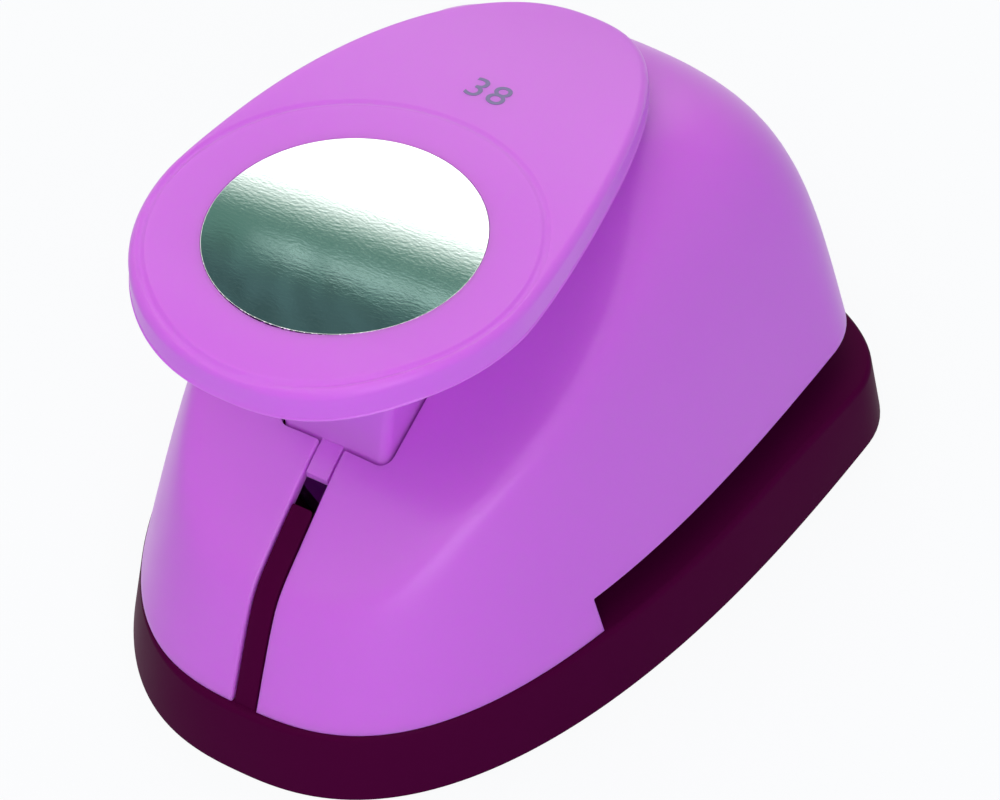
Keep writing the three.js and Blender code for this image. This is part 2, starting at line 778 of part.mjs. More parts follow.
// Lever: a channel with its web on top, an eye at the pin and open underneath
function leverArm() {
  const side = new THREE.Shape();
  side.moveTo(leverFrontY, leverFootZ);
  side.lineTo(punchY + leverEyeRadius, leverFootZ);
  side.absarc(pivotY, pivotZ, leverEyeRadius, -Math.PI / 2, Math.PI / 2, false);
  side.lineTo(leverFrontY, leverTopZ);
  const whole = slab(side, -leverHalfWidth, leverHalfWidth);
  const inner = leverHalfWidth - leverSteel;
  const low = [-inner, leverFrontY - overrun, leverFootZ - overrun];
  const high = [inner, pivotY + leverEyeRadius + overrun, leverTopZ - leverSteel];
  const rearLow = [-inner, pivotY - leverEyeRadius, leverFootZ - overrun];
  const rearHigh = [inner, high[1], leverTopZ + overrun];
  return cut(whole, [
    block(low, high),
    block(rearLow, rearHigh),
    crossRod(pivotPinRadius + clearance, leverHalfWidth + overrun, pivotY, pivotZ),
    crossRod(pressPinRadius + clearance, leverHalfWidth + overrun, punchY, pressPinZ),
    ...leverScrews.map((y) => screwHole(0, y, leverFootZ, leverTopZ + overrun)),
  ]);
}

// Pin across the lever, with two grooves for its clips
function hingePin() {
  const grooveStart = earOuter + clearance / 2;
  const grooveEnd = grooveStart + clipThickness + clearance;
  const end = grooveEnd + pinEndLength;
  const half = [
    [pivotPinRadius, grooveStart],
    [grooveRadius, grooveStart],
    [grooveRadius, grooveEnd],
    [pivotPinRadius, grooveEnd],
    [pivotPinRadius, end],
  ];
  const mirrored = half.map(([radius, x]) => [radius, -x]).reverse();
  const profile = [[0, -end], ...mirrored, ...half, [0, end]];
  const geometry = new THREE.LatheGeometry(
    profile.map(([radius, x]) => new THREE.Vector2(radius, x)),
    roundSteps / 2,
  );
  geometry.rotateZ(-Math.PI / 2);
  return solid(geometry);
}

// Open clip, flat in Y and Z around zero
function retainingClip() {
  const inner = grooveRadius + clearance;
  const shape = new THREE.Shape();
  shape.absarc(0, 0, clipOuterRadius, clipMouth, 2 * Math.PI - clipMouth, false);
  shape.absarc(0, 0, inner, 2 * Math.PI - clipMouth, clipMouth, true);
  return slab(shape, -clipThickness / 2, clipThickness / 2);
}

// Thumb press: the egg-shaped pad, the pocket for the disc, the neck and the slot fin
function thumbPress() {
  const rings = padDepthShares.map((share, k) => {
    const ring = eggRing(pressEgg, pressRounding * padInsetShares[k], 0, skinSteps);
    ring.forEach((p) => {
      p.z = -padThickness(p.y) * share - padDrop(p.y);
    });
    return ring;
  });
  const padShape = loft(rings, stripCap);
  padShape.rotateX(pressTilt);
  padShape.translate(0, pressY, pressZ);
  const pocketShape = new THREE.CylinderGeometry(boreRadius, boreRadius, 2 * overrun, roundSteps);
  pocketShape.rotateX(Math.PI / 2);
  pocketShape.translate(0, 0, overrun - discThickness - clearance);
  pocketShape.rotateX(pressTilt);
  pocketShape.translate(0, pressY, pressZ);
  return join([solid(padShape).subtract(solid(pocketShape)), neck(), slotFin()]);
}

// How far the pad lies under its level part, at a distance behind the disc's middle
function padDrop(y) {
  const ahead = Math.max(0, -pressLevelFront - y);
  const behind = Math.max(0, y - pressLevelBack);
  return ahead ** 2 / (2 * pressNoseBend) + behind ** 2 / (2 * pressTailBend);
}

function padThickness(y) {
  const thinning = pressThickness - pressTailThickness;
  return pressThickness - (thinning * Math.max(0, y)) / pressTail;
}

function neck() {
  const kneeZ = rampHeight(0, neckFrontY);
  const top = pressZ - pressThickness + fuse;
  const ringAt = (z) => {
    const front = neckFrontY + neckLean * Math.max(0, z - kneeZ);
    const outline = roundedRectangle(-neckHalfWidth, front, neckHalfWidth, neckBackY, neckCorner);
    return outline.getPoints(cornerSteps).map((p) => new THREE.Vector3(p.x, p.y, z));
  };
  const trimmed = (ring) => ring.filter((p, k) => k === 0 || p.distanceTo(ring[k - 1]) > samePoint);
  const rings = [neckFootZ, kneeZ, top].map((z) => trimmed(ringAt(z)).slice(0, -1));
  const pocketHalf = leverHalfWidth + clearance;
  const pocketFront = leverFrontY - clearance;
  const pocket = block(
    [-pocketHalf, pocketFront, neckFootZ - overrun],
    [pocketHalf, neckBackY + overrun, leverTopZ],
  );
  const holes = leverScrews.map((y) => screwHole(0, y, 0, leverTopZ + leverScrewBite));
  return cut(solid(loft(rings)), [pocket, ...holes]);
}

function slotFin() {
  const frontY = neckFrontY - tabLength;
  const backY = neckFrontY + fuse;
  const frontZ = rampHeight(0, frontY) - clearance;
  const backZ = rampHeight(0, neckFrontY) - clearance;
  const points = [
    [frontY, frontZ],
    [frontY, frontZ - tabEdge],
    [backY, backZ - tabHeight],
    [backY, backZ],
  ];
  const halfWidth = slotWidth / 2 - clearance;
  return slabOf(points, -halfWidth, halfWidth);
}

// Bright disc of the punched size, its middle at zero
function sizeDisc() {
  return rod(circleRadius, -discThickness, 0, 0, 0, roundSteps);
}

const group = new THREE.Group();
const body = new THREE.Group();
const lever = new THREE.Group();
const punch = new THREE.Group();
group.add(body, lever, punch);

addPart(body, "base_shell", baseShell(), maroonPlastic);
addPart(body, "bottom_cover", bottomCover(), maroonPlastic);
addPart(body, "housing", housing(), pinkPlastic);
addPart(body, "die_plate", diePlate(), plateSteel);
addPart(body, "paper_stop", paperStop(), plateSteel);
addPart(body, "guide_bracket", guideBracket(), plateSteel);

const hingePinMesh = addPart(body, "hinge_pin", hingePin(), zincSteel);
hingePinMesh.position.set(0, pivotY, pivotZ);
sides.forEach((side, k) => {
  const way = k === 0 ? -1 : 1;
  const clip = addPart(body, `hinge_clip_${side}`, retainingClip(), springSteel);
  clip.position.set(way * (earOuter + clearance + clipThickness / 2), pivotY, pivotZ);
  const post = addPart(body, `guide_post_${side}`, guidePost(), zincSteel);
  post.position.set(way * postX, punchY, guideTop);
  const spring = addPart(body, `return_spring_${side}`, returnSpring(), springSteel);
  spring.position.set(way * postX, punchY, guideTop + clearance / 2);
});

plateScrews.forEach(([x, y], k) => {
  const place = ["left", "front", "right"][k];
  addScrew(body, `plate_screw_${place}`, x, y, guideTop, guideTop - plateScrewEnd, screwHeadHeight, false);
});
dieScrews.forEach(([x, y], k) => {
  const seat = baseHeight - lowHeadHeight;
  addScrew(body, `die_screw_${sides[k]}`, x, y, seat, seat - plateScrewEnd, lowHeadHeight, false);
});
houseScrews.forEach(([x, y], k) => {
  const length = baseHeight - coverThickness + houseScrewBite - clearance;
  addScrew(body, `housing_screw_${sides[k]}`, x, y, coverThickness, length, screwHeadHeight, true);
});
columns.forEach(([x, y], k) => {
  const seat = guideFoot + lowHeadHeight;
  const length = guideTop - seat + columnScrewBite - clearance;
  addScrew(body, `column_screw_${sides[k]}`, x, y, seat, length, lowHeadHeight, true);
});
coverScrews.forEach(([x, y], k) => {
  const place = ["front", ...sides][k];
  addScrew(body, `cover_screw_${place}`, x, y, coverSink, coverScrewLength, coverSink, true);
});

addPart(lever, "thumb_press", thumbPress(), pinkPlastic);
const disc = addPart(lever, "size_disc", sizeDisc(), mirrorFoil);
disc.position.set(0, pressY, pressZ);
disc.rotation.x = pressTilt;
addPart(lever, "lever_arm", leverArm(), plateSteel);
addPart(lever, "press_pin", crossRod(pressPinRadius, leverHalfWidth, punchY, pressPinZ), zincSteel);
leverScrews.forEach((y, k) => {
  const length = leverSteel + leverScrewBite - clearance;
  const name = `lever_screw_${["front", "rear"][k]}`;
  addScrew(lever, name, 0, y, leverTopZ - leverSteel, length, screwHeadHeight, true);
});

const cutter = addPart(punch, "punch_cutter", punchCutter(), toolSteel);
cutter.position.set(0, punchY, cutterFoot);
const crossheadMesh = addPart(punch, "crosshead", crosshead(), plateSteel);
crossheadMesh.position.set(0, punchY, crossheadFoot);
const button = addPart(punch, "press_button", pressButton(), zincSteel);
button.position.set(0, punchY, crossheadTop);

console.log("least gap between spring turns, mm:", springGap().toFixed(2));

export default group;
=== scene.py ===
"""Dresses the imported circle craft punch: smooth mouldings, materials, studio and camera."""

import json
import math

import bmesh
import bpy
import numpy as np
from mathutils import Matrix, Vector


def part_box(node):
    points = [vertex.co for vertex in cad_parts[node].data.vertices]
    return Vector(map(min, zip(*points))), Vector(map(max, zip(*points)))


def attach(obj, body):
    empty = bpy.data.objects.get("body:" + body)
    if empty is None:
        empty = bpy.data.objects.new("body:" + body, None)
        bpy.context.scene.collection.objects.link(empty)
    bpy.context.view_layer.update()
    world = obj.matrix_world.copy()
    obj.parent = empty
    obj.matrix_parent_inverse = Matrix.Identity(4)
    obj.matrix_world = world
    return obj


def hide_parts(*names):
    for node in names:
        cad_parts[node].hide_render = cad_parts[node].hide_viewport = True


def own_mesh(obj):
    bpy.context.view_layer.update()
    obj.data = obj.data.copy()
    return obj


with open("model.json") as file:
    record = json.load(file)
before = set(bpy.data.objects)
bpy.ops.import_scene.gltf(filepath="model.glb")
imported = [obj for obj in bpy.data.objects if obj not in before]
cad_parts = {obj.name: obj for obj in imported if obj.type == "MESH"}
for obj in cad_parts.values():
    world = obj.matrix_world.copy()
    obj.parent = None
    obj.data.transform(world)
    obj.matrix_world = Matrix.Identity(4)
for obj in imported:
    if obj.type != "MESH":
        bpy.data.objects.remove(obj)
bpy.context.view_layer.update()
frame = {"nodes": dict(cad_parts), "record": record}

MM = 0.001

# Sizes in millimetres. Most are those of the part's source. Rims, gaps and a few curves are finer
CIRCLE_RADIUS = 19.0
CLEARANCE = 0.3
PUNCH_Y = 6.0
PLATE_RADIUS = 28.0
PLATE_REAR = 42.0
PLATE_CORNER = 4.0
OVERRUN = 3.0  # of a cut past what it cuts
OVERLAP = 0.6  # of joined forms in each other
TINY = 1e-6

BASE_HALF = 43.5
BASE_LENGTH = 114.0
BASE_TAIL = 20.0
BASE_HEIGHT = 10.5
BASE_FLARE = 2.2
BASE_FLARE_BACK = 1.0
BASE_FLARE_BLEND = 30.0
BASE_FLARE_AHEAD = 20.0
BASE_FOOT = 3.2
BASE_WALL = 2.2
BASE_EDGE = 0.8
BASE_CHAMFER = 0.25
BASE_WIDEST = BASE_LENGTH / 2 - BASE_TAIL
BASE_POWERS = ((0.81, 0.81), (0.89, 0.89))
DIE_FOOT = 8.5
DECK_FOOT = 7.0
COVER_THICKNESS = 1.8
WINDOW_RADIUS = 21.0
BOSS_RADIUS = 3.4
SCREW_HOLE_RADIUS = 1.8
BLIND_FLOOR = 0.6
COVER_SCREW_DEPTH = 5.0

HOUSE_SIDE_GAP, HOUSE_END_GAP = 1.6, 0.8
HOUSE_HALF = BASE_HALF - BASE_FLARE - HOUSE_SIDE_GAP
HOUSE_REACH = BASE_LENGTH / 2 - BASE_FLARE - HOUSE_END_GAP
HOUSE_TOP = 59.7
HOUSE_TOP_Y = 9.8
HOUSE_WALL = 2.0
THROAT_TOP = 16.2
THROAT_Y = -18.0
DOME_POWERS = ((0.75, 0.75), (0.81, 0.81))
SIDE_LEAN, NOSE_LEAN = 0.236, 0.365
FOOT_SHARE, TOP_SHARE = 0.843, 0.772
SIDE_CURVE, NOSE_CURVE, TAIL_CURVE = 4.5, 3.51, 4.04

RAMP_FOOT = (-47.5, 25.1)
RAMP_KNEE = (-29.7, 37.9)
RAMP_CREST = (20.0, 59.6)
RAMP_BLEND = 1.1
KNEE_BLEND = 0.4
RAMP_CROWN, RAMP_CROWN_HALF = 2.0, 26.0

SLOT_HALF = 2.0
SLOT_SHARE_MOST = 0.25
RIB_SETBACK = 0.25
RIB_DEPTH = 3.0
RIB_CORNER = 0.35
RIB_TOP_FALL = 4.0
RIB_TOP_Y = -35.7
RIB_FOOT = BASE_HEIGHT - OVERLAP

PRESS_Y, PRESS_Z = -19.6, 70.95
PRESS_TILT = math.radians(-2.47)
PRESS_HALF = 28.45
PRESS_WIDEST = 0.1
PRESS_NOSE, PRESS_TAIL = 28.3, 59.7
PRESS_THICKNESS, PRESS_TAIL_THICKNESS = 4.6, 2.6
PRESS_LEVEL_FRONT, PRESS_LEVEL_BACK = -14.0, 14.8
PRESS_NOSE_BEND, PRESS_TAIL_BEND = 42.0, 160.0
PRESS_POWERS = ((0.83, 1.06), (0.84, 1.33))
PRESS_LIP = 0.14
PRESS_DRAFT = 0.06
RIM_ROUNDING = 1.3
RIM_START, RIM_ROWS = 6, 15

# Inset and height over the underside at the lip, then inset and depth of the drafted side
LIP_ROWS = ((0.4, 0.0), (0.15, 0.0), (0.02, 0.08), (0.0, 0.2), (PRESS_LIP, 0.38))
SIDE_ROWS = ((PRESS_LIP, 3.4), (PRESS_LIP + 0.02, 2.6), (PRESS_LIP + PRESS_DRAFT, 1.9))

RING_RADIUS = 26.75
RING_Y = -0.45
RING_HALF = 0.65
RING_DEPTH = 0.3
RING_BAND = 1.15
RING_MARGIN = 0.05
RING_POWER, RING_FADE = 1.5, 0.5
UNDERSIDE_START, UNDERSIDE_RINGS = 0.03, 16
BORDER_RINGS, BAND_RINGS, FIELD_RINGS = 24, 17, 12
POCKET_GAP = 0.06
POCKET_RADIUS = CIRCLE_RADIUS + POCKET_GAP
POCKET_DEPTH = 0.75
POCKET_EDGE = 0.08
DISC_THICKNESS = 0.6
DISC_SINK = 0.1
DISC_EDGE = 0.05
DISC_FULLNESS = 0.03
DISC_SHARES = np.r_[0.999, 0.997, np.linspace(0.99, 0.02, 60)]

NECK_HALF = 8.6
NECK_CORNER = 1.4
NECK_FRONT, NECK_BACK = -27.6, -3.0
NECK_FOOT = 33.0
NECK_LEAN = 0.3
NECK_GAP = 0.5
NECK_POCKET_HALF, NECK_POCKET_FRONT, NECK_POCKET_TOP = 6.7, -26.3, 40.5
TAB_LENGTH, TAB_HEIGHT, TAB_EDGE = 4.4, 5.0, 0.9
FIN_POINTS = 9

WIRE_RADIUS = 0.5
COIL_RADIUS = 3.0
COIL_TURNS = 5

MARK_Y = 34.0
MARK_HEIGHT = 6.2
MARK_THICKNESS = 0.03
MARK_LIFT = 0.02
MARK_SPACING = 1.1

# Counts of steps and samples, angles in degrees under which faces shade as one, and the CAD bevel
ROUND_STEPS = 48
CORNER_STEPS = 8
EDGE_STEPS, BASE_EDGE_STEPS = 4, 6
NECK_CORNER_STEPS = 10
BASE_STEPS = 260
PAD_STEPS = 256
DISC_STEPS = 192
COIL_STEPS, WIRE_SIDES = 32, 12
LINE_SAMPLES, SPREAD_SAMPLES, RIB_SAMPLES = 4001, 600, 400
SMOOTH_ANGLE = 32
RIB_SMOOTH_ANGLE = 35
WIRE_SMOOTH_ANGLE = 50
CAD_SMOOTH_ANGLE = 47
CAD_BEVEL_ANGLE = 48
CAD_BEVEL, CAD_BEVEL_SEGMENTS = 0.12, 2


# Small mesh tools

def add_object(name, data):
    obj = bpy.data.objects.new(name, data)
    bpy.context.scene.collection.objects.link(obj)
    return obj


def new_object(name, vertices, faces, smooth_angle=None):
    """An object from vertices in millimetres, smooth where faces meet below the angle."""
    mesh = bpy.data.meshes.new(name)
    mesh.from_pydata([tuple(v) for v in np.asarray(vertices, float) * MM], [], faces)
    mesh.validate()
    obj = add_object(name, mesh)
    if smooth_angle is not None:
        smooth(obj, smooth_angle)
    return obj


def smooth(obj, angle):
    obj.data.shade_smooth()
    obj.data.set_sharp_from_angle(angle=math.radians(angle))


def applied(obj):
    """Applies the object's modifiers to its mesh."""
    graph = bpy.context.evaluated_depsgraph_get()
    mesh = bpy.data.meshes.new_from_object(obj.evaluated_get(graph))
    obj.modifiers.clear()
    obj.data = mesh
    return obj


def boolean(obj, tool, operation):
    """Cuts or joins with another closed object, which is used up."""
    modifier = obj.modifiers.new("shape", "BOOLEAN")
    modifier.operation = operation
    modifier.solver = "EXACT"
    modifier.object = tool
    applied(obj)
    bpy.data.objects.remove(tool)
    return obj


def cut(obj, vertices, faces):
    return boolean(obj, new_object("cut", vertices, faces), "DIFFERENCE")


def clean_loose(obj):
    """Drops vertices that no face uses, and turns all faces outward."""
    work = bmesh.new()
    work.from_mesh(obj.data)
    loose = [v for v in work.verts if not v.link_faces]
    bmesh.ops.delete(work, geom=loose, context="VERTS")
    bmesh.ops.recalc_face_normals(work, faces=work.faces)
    work.to_mesh(obj.data)
    work.free()


def closed_loft(rings):
    """Vertices and faces of a closed skin through rings of equal count.

    Each ring runs counter-clockwise as seen from the next one.
    """
    count = len(rings[0])
    vertices = np.concatenate([np.asarray(ring, float) for ring in rings])
    faces = []
    for k in range(len(rings) - 1):
        for i in range(count):
            j = (i + 1) % count
            faces.append((k * count + i, k * count + j, (k + 1) * count + j, (k + 1) * count + i))
    faces.append(tuple(range(count))[::-1])
    start = (len(rings) - 1) * count
    faces.append(tuple(range(start, start + count)))
    return vertices, faces


def level(plan, z):
    return np.c_[plan, np.full(len(plan), z)]


def prism(outline, low, high):
    """A straight prism over an outline in the plane, counter-clockwise."""
    return closed_loft([level(outline, low), level(outline, high)])


def quarter(steps):
    """Angles of a quarter turn, both ends among them."""
    return np.radians(np.linspace(0, 90, steps + 1))


def full_turn(steps):
    return np.linspace(0, 2 * np.pi, steps, endpoint=False)


def cylinder(x, y, radius, low, high):
    angle = full_turn(ROUND_STEPS)
    return prism(np.c_[x + radius * np.cos(angle), y + radius * np.sin(angle)], low, high)


def corner_points(x, y, radius, start, steps=CORNER_STEPS):
    """Points of a rounded corner about its centre, from a start angle in degrees."""
    angle = math.radians(start) + quarter(steps)
    return list(zip(x + radius * np.cos(angle), y + radius * np.sin(angle)))


def rounded_rectangle(low, high, corner, steps=CORNER_STEPS):
    near_x, near_y = low[0] + corner, low[1] + corner
    far_x, far_y = high[0] - corner, high[1] - corner
    points = corner_points(far_x, near_y, corner, -90, steps)
    points += corner_points(far_x, far_y, corner, 0, steps)
    points += corner_points(near_x, far_y, corner, 90, steps)
    points += corner_points(near_x, near_y, corner, 180, steps)
    return np.array(points)


def plate_outline(margin):
    """Plan of the two steel plates: round in front, with rounded corners at the rear."""
    radius = PLATE_RADIUS + margin
    centre_y = PLATE_REAR + margin - PLATE_CORNER
    points = [(radius, PUNCH_Y)]
    points += corner_points(radius - PLATE_CORNER, centre_y, PLATE_CORNER, 0)
    points += corner_points(PLATE_CORNER - radius, centre_y, PLATE_CORNER, 90)
    for k in range(ROUND_STEPS):
        angle = math.pi + math.pi * k / ROUND_STEPS
        points.append((radius * math.cos(angle), PUNCH_Y + radius * math.sin(angle)))
    return np.array(points)


def egg(angle, half, widest, nose, tail, powers):
    """Points of an egg outline, the angle from the tip of its nose towards +X."""
    across, along = np.sin(angle), -np.cos(angle)
    front = along < 0
    side = np.where(front, powers[0][0], powers[1][0])
    end = np.where(front, powers[0][1], powers[1][1])
    x = half * np.sign(across) * np.abs(across) ** side
    y = widest + np.where(front, nose, tail) * np.sign(along) * np.abs(along) ** end
    return np.stack([x, y], axis=-1)


def walked_length(points):
    """Length walked along a line up to each of its points."""
    return np.r_[0, np.cumsum(np.linalg.norm(np.diff(points, axis=0), axis=1))]


def even_angles(outline, steps):
    """Angles that space an outline evenly along its length."""
    fine = np.linspace(0, 2 * np.pi, LINE_SAMPLES)
    walked = walked_length(outline(fine))
    return np.interp(np.linspace(0, walked[-1], steps, endpoint=False), walked, fine)


def ease(share):
    """A share that starts and ends gently."""
    return share * share * (3 - 2 * share)


# The dome of the housing

def soft_lower(first, second, blend):
    """The lower of two heights, rounded where they cross."""
    return np.minimum(first, second) - blend * np.log1p(np.exp(-np.abs(first - second) / blend))


def slope(y, low, high):
    """Height at y on the straight line through two places."""
    return low[1] + (high[1] - low[1]) * (y - low[0]) / (high[0] - low[0])


def ramp_height(x, y):
    """Top of the housing's front slope, which bends at its knee and falls to both sides."""
    crown = RAMP_CROWN * (x / RAMP_CROWN_HALF) ** 2
    return soft_lower(slope(y, RAMP_FOOT, RAMP_KNEE), slope(y, RAMP_KNEE, RAMP_CREST), KNEE_BLEND) - crown


def dome_outline(share, inset):
    """Half width, widest line, nose and tail of the housing's plan at a share of its height."""
    def narrowing(lean, curve):
        return (1 - lean * share) * (1 - share ** curve) ** (1 / curve)

    front = HOUSE_TOP_Y - (HOUSE_TOP_Y + HOUSE_REACH - inset) * narrowing(NOSE_LEAN, NOSE_CURVE)
    back = HOUSE_TOP_Y + (HOUSE_REACH - inset - HOUSE_TOP_Y) * narrowing(0, TAIL_CURVE)
    widest = front + (FOOT_SHARE + (TOP_SHARE - FOOT_SHARE) * share) * (back - front)
    return (HOUSE_HALF - inset) * narrowing(SIDE_LEAN, SIDE_CURVE), widest, widest - front, back - widest


def dome_points(share, angle, inset):
    half, widest, nose, tail = dome_outline(share, inset)
    plan = egg(angle, half, widest, nose, tail, DOME_POWERS)
    height = BASE_HEIGHT + (HOUSE_TOP - inset - BASE_HEIGHT) * share
    return np.c_[plan, soft_lower(height, ramp_height(plan[:, 0], plan[:, 1]) - inset, RAMP_BLEND)]


TOP_POWER = 4


def inner_share(share):
    """Share of the inner skin that lies level with a low share of the outer one."""
    rise = HOUSE_TOP - BASE_HEIGHT
    return share * rise / (rise - HOUSE_WALL * (1 - share ** TOP_POWER))


FILLET = 0.45
FILLET_SHARES = 1 - np.sin(np.radians([90, 65, 42, 20, 0]))


def dome_angles(share, inset, fixed):
    """Angles of the columns: slot edge with its fillet, step of the throat, then the back."""
    half, widest, nose, _ = dome_outline(share, inset)
    power = DOME_POWERS[0][0]
    across = np.minimum((SLOT_HALF + FILLET * FILLET_SHARES) / max(half, TINY), SLOT_SHARE_MOST)
    slot = np.arcsin(across ** (1 / power))
    step_y = THROAT_Y - FILLET * FILLET_SHARES[::-1]
    step = np.arccos(np.clip((widest - step_y) / nose, 0, 1) ** (1 / power))
    anchor = step if fixed is None else fixed
    front = anchor[0] + (FRONT_SPREAD - 1) * (anchor[0] - slot[-1])
    back = anchor[-1] + BACK_SPREAD * (math.pi - anchor[-1])
    return np.concatenate([[0.0], slot, front, anchor, back]), step


def spread_shares(low, high, count):
    """Shares of an angle range that space the points on the housing's foot evenly."""
    fine = np.linspace(0, 1, SPREAD_SAMPLES)
    walked = walked_length(dome_points(0.0, low + fine * (high - low), 0.0))
    return np.interp(np.linspace(0, walked[-1], count + 1)[1:], walked, fine)


SLOT_ANGLE, STEP_ANGLE = 0.03, 1.18
FRONT_COLUMNS, BACK_COLUMNS = 62, 84
FRONT_SPREAD = spread_shares(SLOT_ANGLE, STEP_ANGLE, FRONT_COLUMNS)[:-1]
BACK_SPREAD = spread_shares(STEP_ANGLE, math.pi, BACK_COLUMNS)

THROAT_ROWS = 5
UPPER_ROWS = 56
UPPER_SHARE = 0.62
ROW_STEP = 0.9
OVER_FOOT, UNDER_THROAT, OVER_THROAT = 1.2, 1.0, 1.3


def dome_shares():
    """Row shares: close rows at both rims for their fillets, even in height, then even in plan."""
    rise = HOUSE_TOP - BASE_HEIGHT
    throat = THROAT_TOP - BASE_HEIGHT
    fillet = FILLET * FILLET_SHARES
    low = [fillet, np.linspace(OVER_FOOT, throat - UNDER_THROAT, THROAT_ROWS), throat + fillet]
    middle = np.arange(throat + OVER_THROAT, UPPER_SHARE * rise, ROW_STEP)
    inward = np.linspace(1, 0, UPPER_ROWS)[1:-1]
    start = (1 - UPPER_SHARE ** TOP_POWER) ** (1 / TOP_POWER)
    upper = (1 - (start * inward) ** TOP_POWER) ** (1 / TOP_POWER)
    return np.concatenate([np.concatenate(low) / rise, middle / rise, upper])


EDGE_SLACK = 0.01


def cut_distance(points, slot_rows):
    """Distance of the outer skin from the nearest cut edge: slot, foot, throat and its step."""
    x, y, z = points[..., 0], points[..., 1], points[..., 2]
    slot = np.where(slot_rows[:, None] & (y < 0), np.abs(x) - SLOT_HALF, np.inf)
    ahead = THROAT_Y - y
    over = z - THROAT_TOP
    step = np.where(over < -EDGE_SLACK, np.abs(ahead), np.hypot(np.maximum(ahead, 0), over))
    foot = np.where(y <= THROAT_Y + TINY, z - BASE_HEIGHT, np.inf)
    return np.maximum(np.minimum(np.minimum(slot, foot), step), 0)


def fillet_depth(distance):
    """How far a rounded cut edge lies under the skin, at a distance from the edge."""
    return FILLET - np.sqrt(np.maximum(FILLET ** 2 - np.maximum(FILLET - distance, 0) ** 2, 0))


def skin_normals(grid):
    along = np.roll(grid, -1, 1) - np.roll(grid, 1, 1)
    upward = np.gradient(grid, axis=0)
    normal = np.cross(along, upward)
    return normal / np.maximum(np.linalg.norm(normal, axis=2, keepdims=True), TINY)


def housing_grid(shares, inset):
    """Rows of points on a skin of the dome. Over the throat the columns keep their angles."""
    fixed = None
    rows = []
    throat_share = (THROAT_TOP - BASE_HEIGHT) / (HOUSE_TOP - BASE_HEIGHT)
    for share in shares:
        at = inner_share(share) if inset else share
        angles, step = dome_angles(at, inset, fixed)
        if share <= throat_share + TINY:
            last = step
        if share > throat_share:
            fixed = last
        right = dome_points(at, angles, inset)
        right[0, 0] = right[-1, 0] = 0.0
        left = right[-2:0:-1] * (-1, 1, 1)
        rows.append(np.concatenate([right, left]))
    return np.array(rows)


def kept_cells(rows, columns, slot_rows):
    """Which cells of the skin stay: none in the slot and none in the throat."""
    fillet = len(FILLET_SHARES)
    step_column = 1 + fillet + len(FRONT_SPREAD)
    keep = np.ones((rows - 1, columns), bool)
    keep[:, [0, -1]] &= ~slot_rows[:-1, None]
    keep[:fillet + THROAT_ROWS, step_column + fillet - 1:columns - step_column - fillet + 1] = False
    return keep


def skin_faces(keep):
    """Faces of the outer and inner skin and of the walls along every cut."""
    rows, columns = keep.shape[0] + 1, keep.shape[1]
    size = rows * columns
    faces = []

    def kept(i, k):
        return 0 <= i < rows - 1 and keep[i, k % columns]

    def wall(first, second):
        faces.append((second, first, size + first, size + second))

    for i, k in zip(*np.nonzero(keep)):
        i, k = int(i), int(k)
        low, high, beside = i * columns, (i + 1) * columns, (k + 1) % columns
        a, b, c, d = low + k, low + beside, high + beside, high + k
        faces.append((a, b, c, d))
        faces.append((size + d, size + c, size + b, size + a))
        if not kept(i - 1, k):
            wall(a, b)
        if not kept(i + 1, k) and i < rows - 2:
            wall(c, d)
        if not kept(i, k + 1):
            wall(b, c)
        if not kept(i, k - 1):
            wall(d, a)
    return faces


def top_faces(size, columns):
    """Faces that close each skin at the top, round a middle point of its own."""
    faces = []
    for k in range(columns):
        first, second = size - columns + k, size - columns + (k + 1) % columns
        faces.append((first, second, 2 * size))
        faces.append((size + second, size + first, 2 * size + 1))
    return faces


def make_housing():
    """The moulded dome: two skins with walls along the cuts, and the opening for the neck."""
    shares = dome_shares()
    outer = housing_grid(shares, 0.0)
    inner = housing_grid(shares, HOUSE_WALL)
    slot_rows = outer[:, 0, 1] < (NECK_FRONT + NECK_BACK) / 2
    depth = fillet_depth(cut_distance(outer, slot_rows))
    outer = outer - skin_normals(outer) * depth[:, :, None]
    tops = [outer[-1].mean(0), inner[-1].mean(0)]
    vertices = np.concatenate([outer.reshape(-1, 3), inner.reshape(-1, 3), tops])
    rows, columns, _ = outer.shape
    faces = skin_faces(kept_cells(rows, columns, slot_rows)) + top_faces(rows * columns, columns)
    housing = new_object("housing_shell", vertices, faces)
    clean_loose(housing)
    opening = rounded_rectangle(
        (-NECK_HALF - NECK_GAP, NECK_FRONT - NECK_GAP),
        (NECK_HALF + NECK_GAP, NECK_BACK + NECK_GAP),
        NECK_CORNER + NECK_GAP,
    )
    cut(housing, *prism(opening, NECK_FOOT - OVERRUN, HOUSE_TOP + OVERRUN))
    smooth(housing, SMOOTH_ANGLE)
    return housing


# The rib that fills the slot

RIB_LINE_END = 0.97
RIB_RINGS = 70


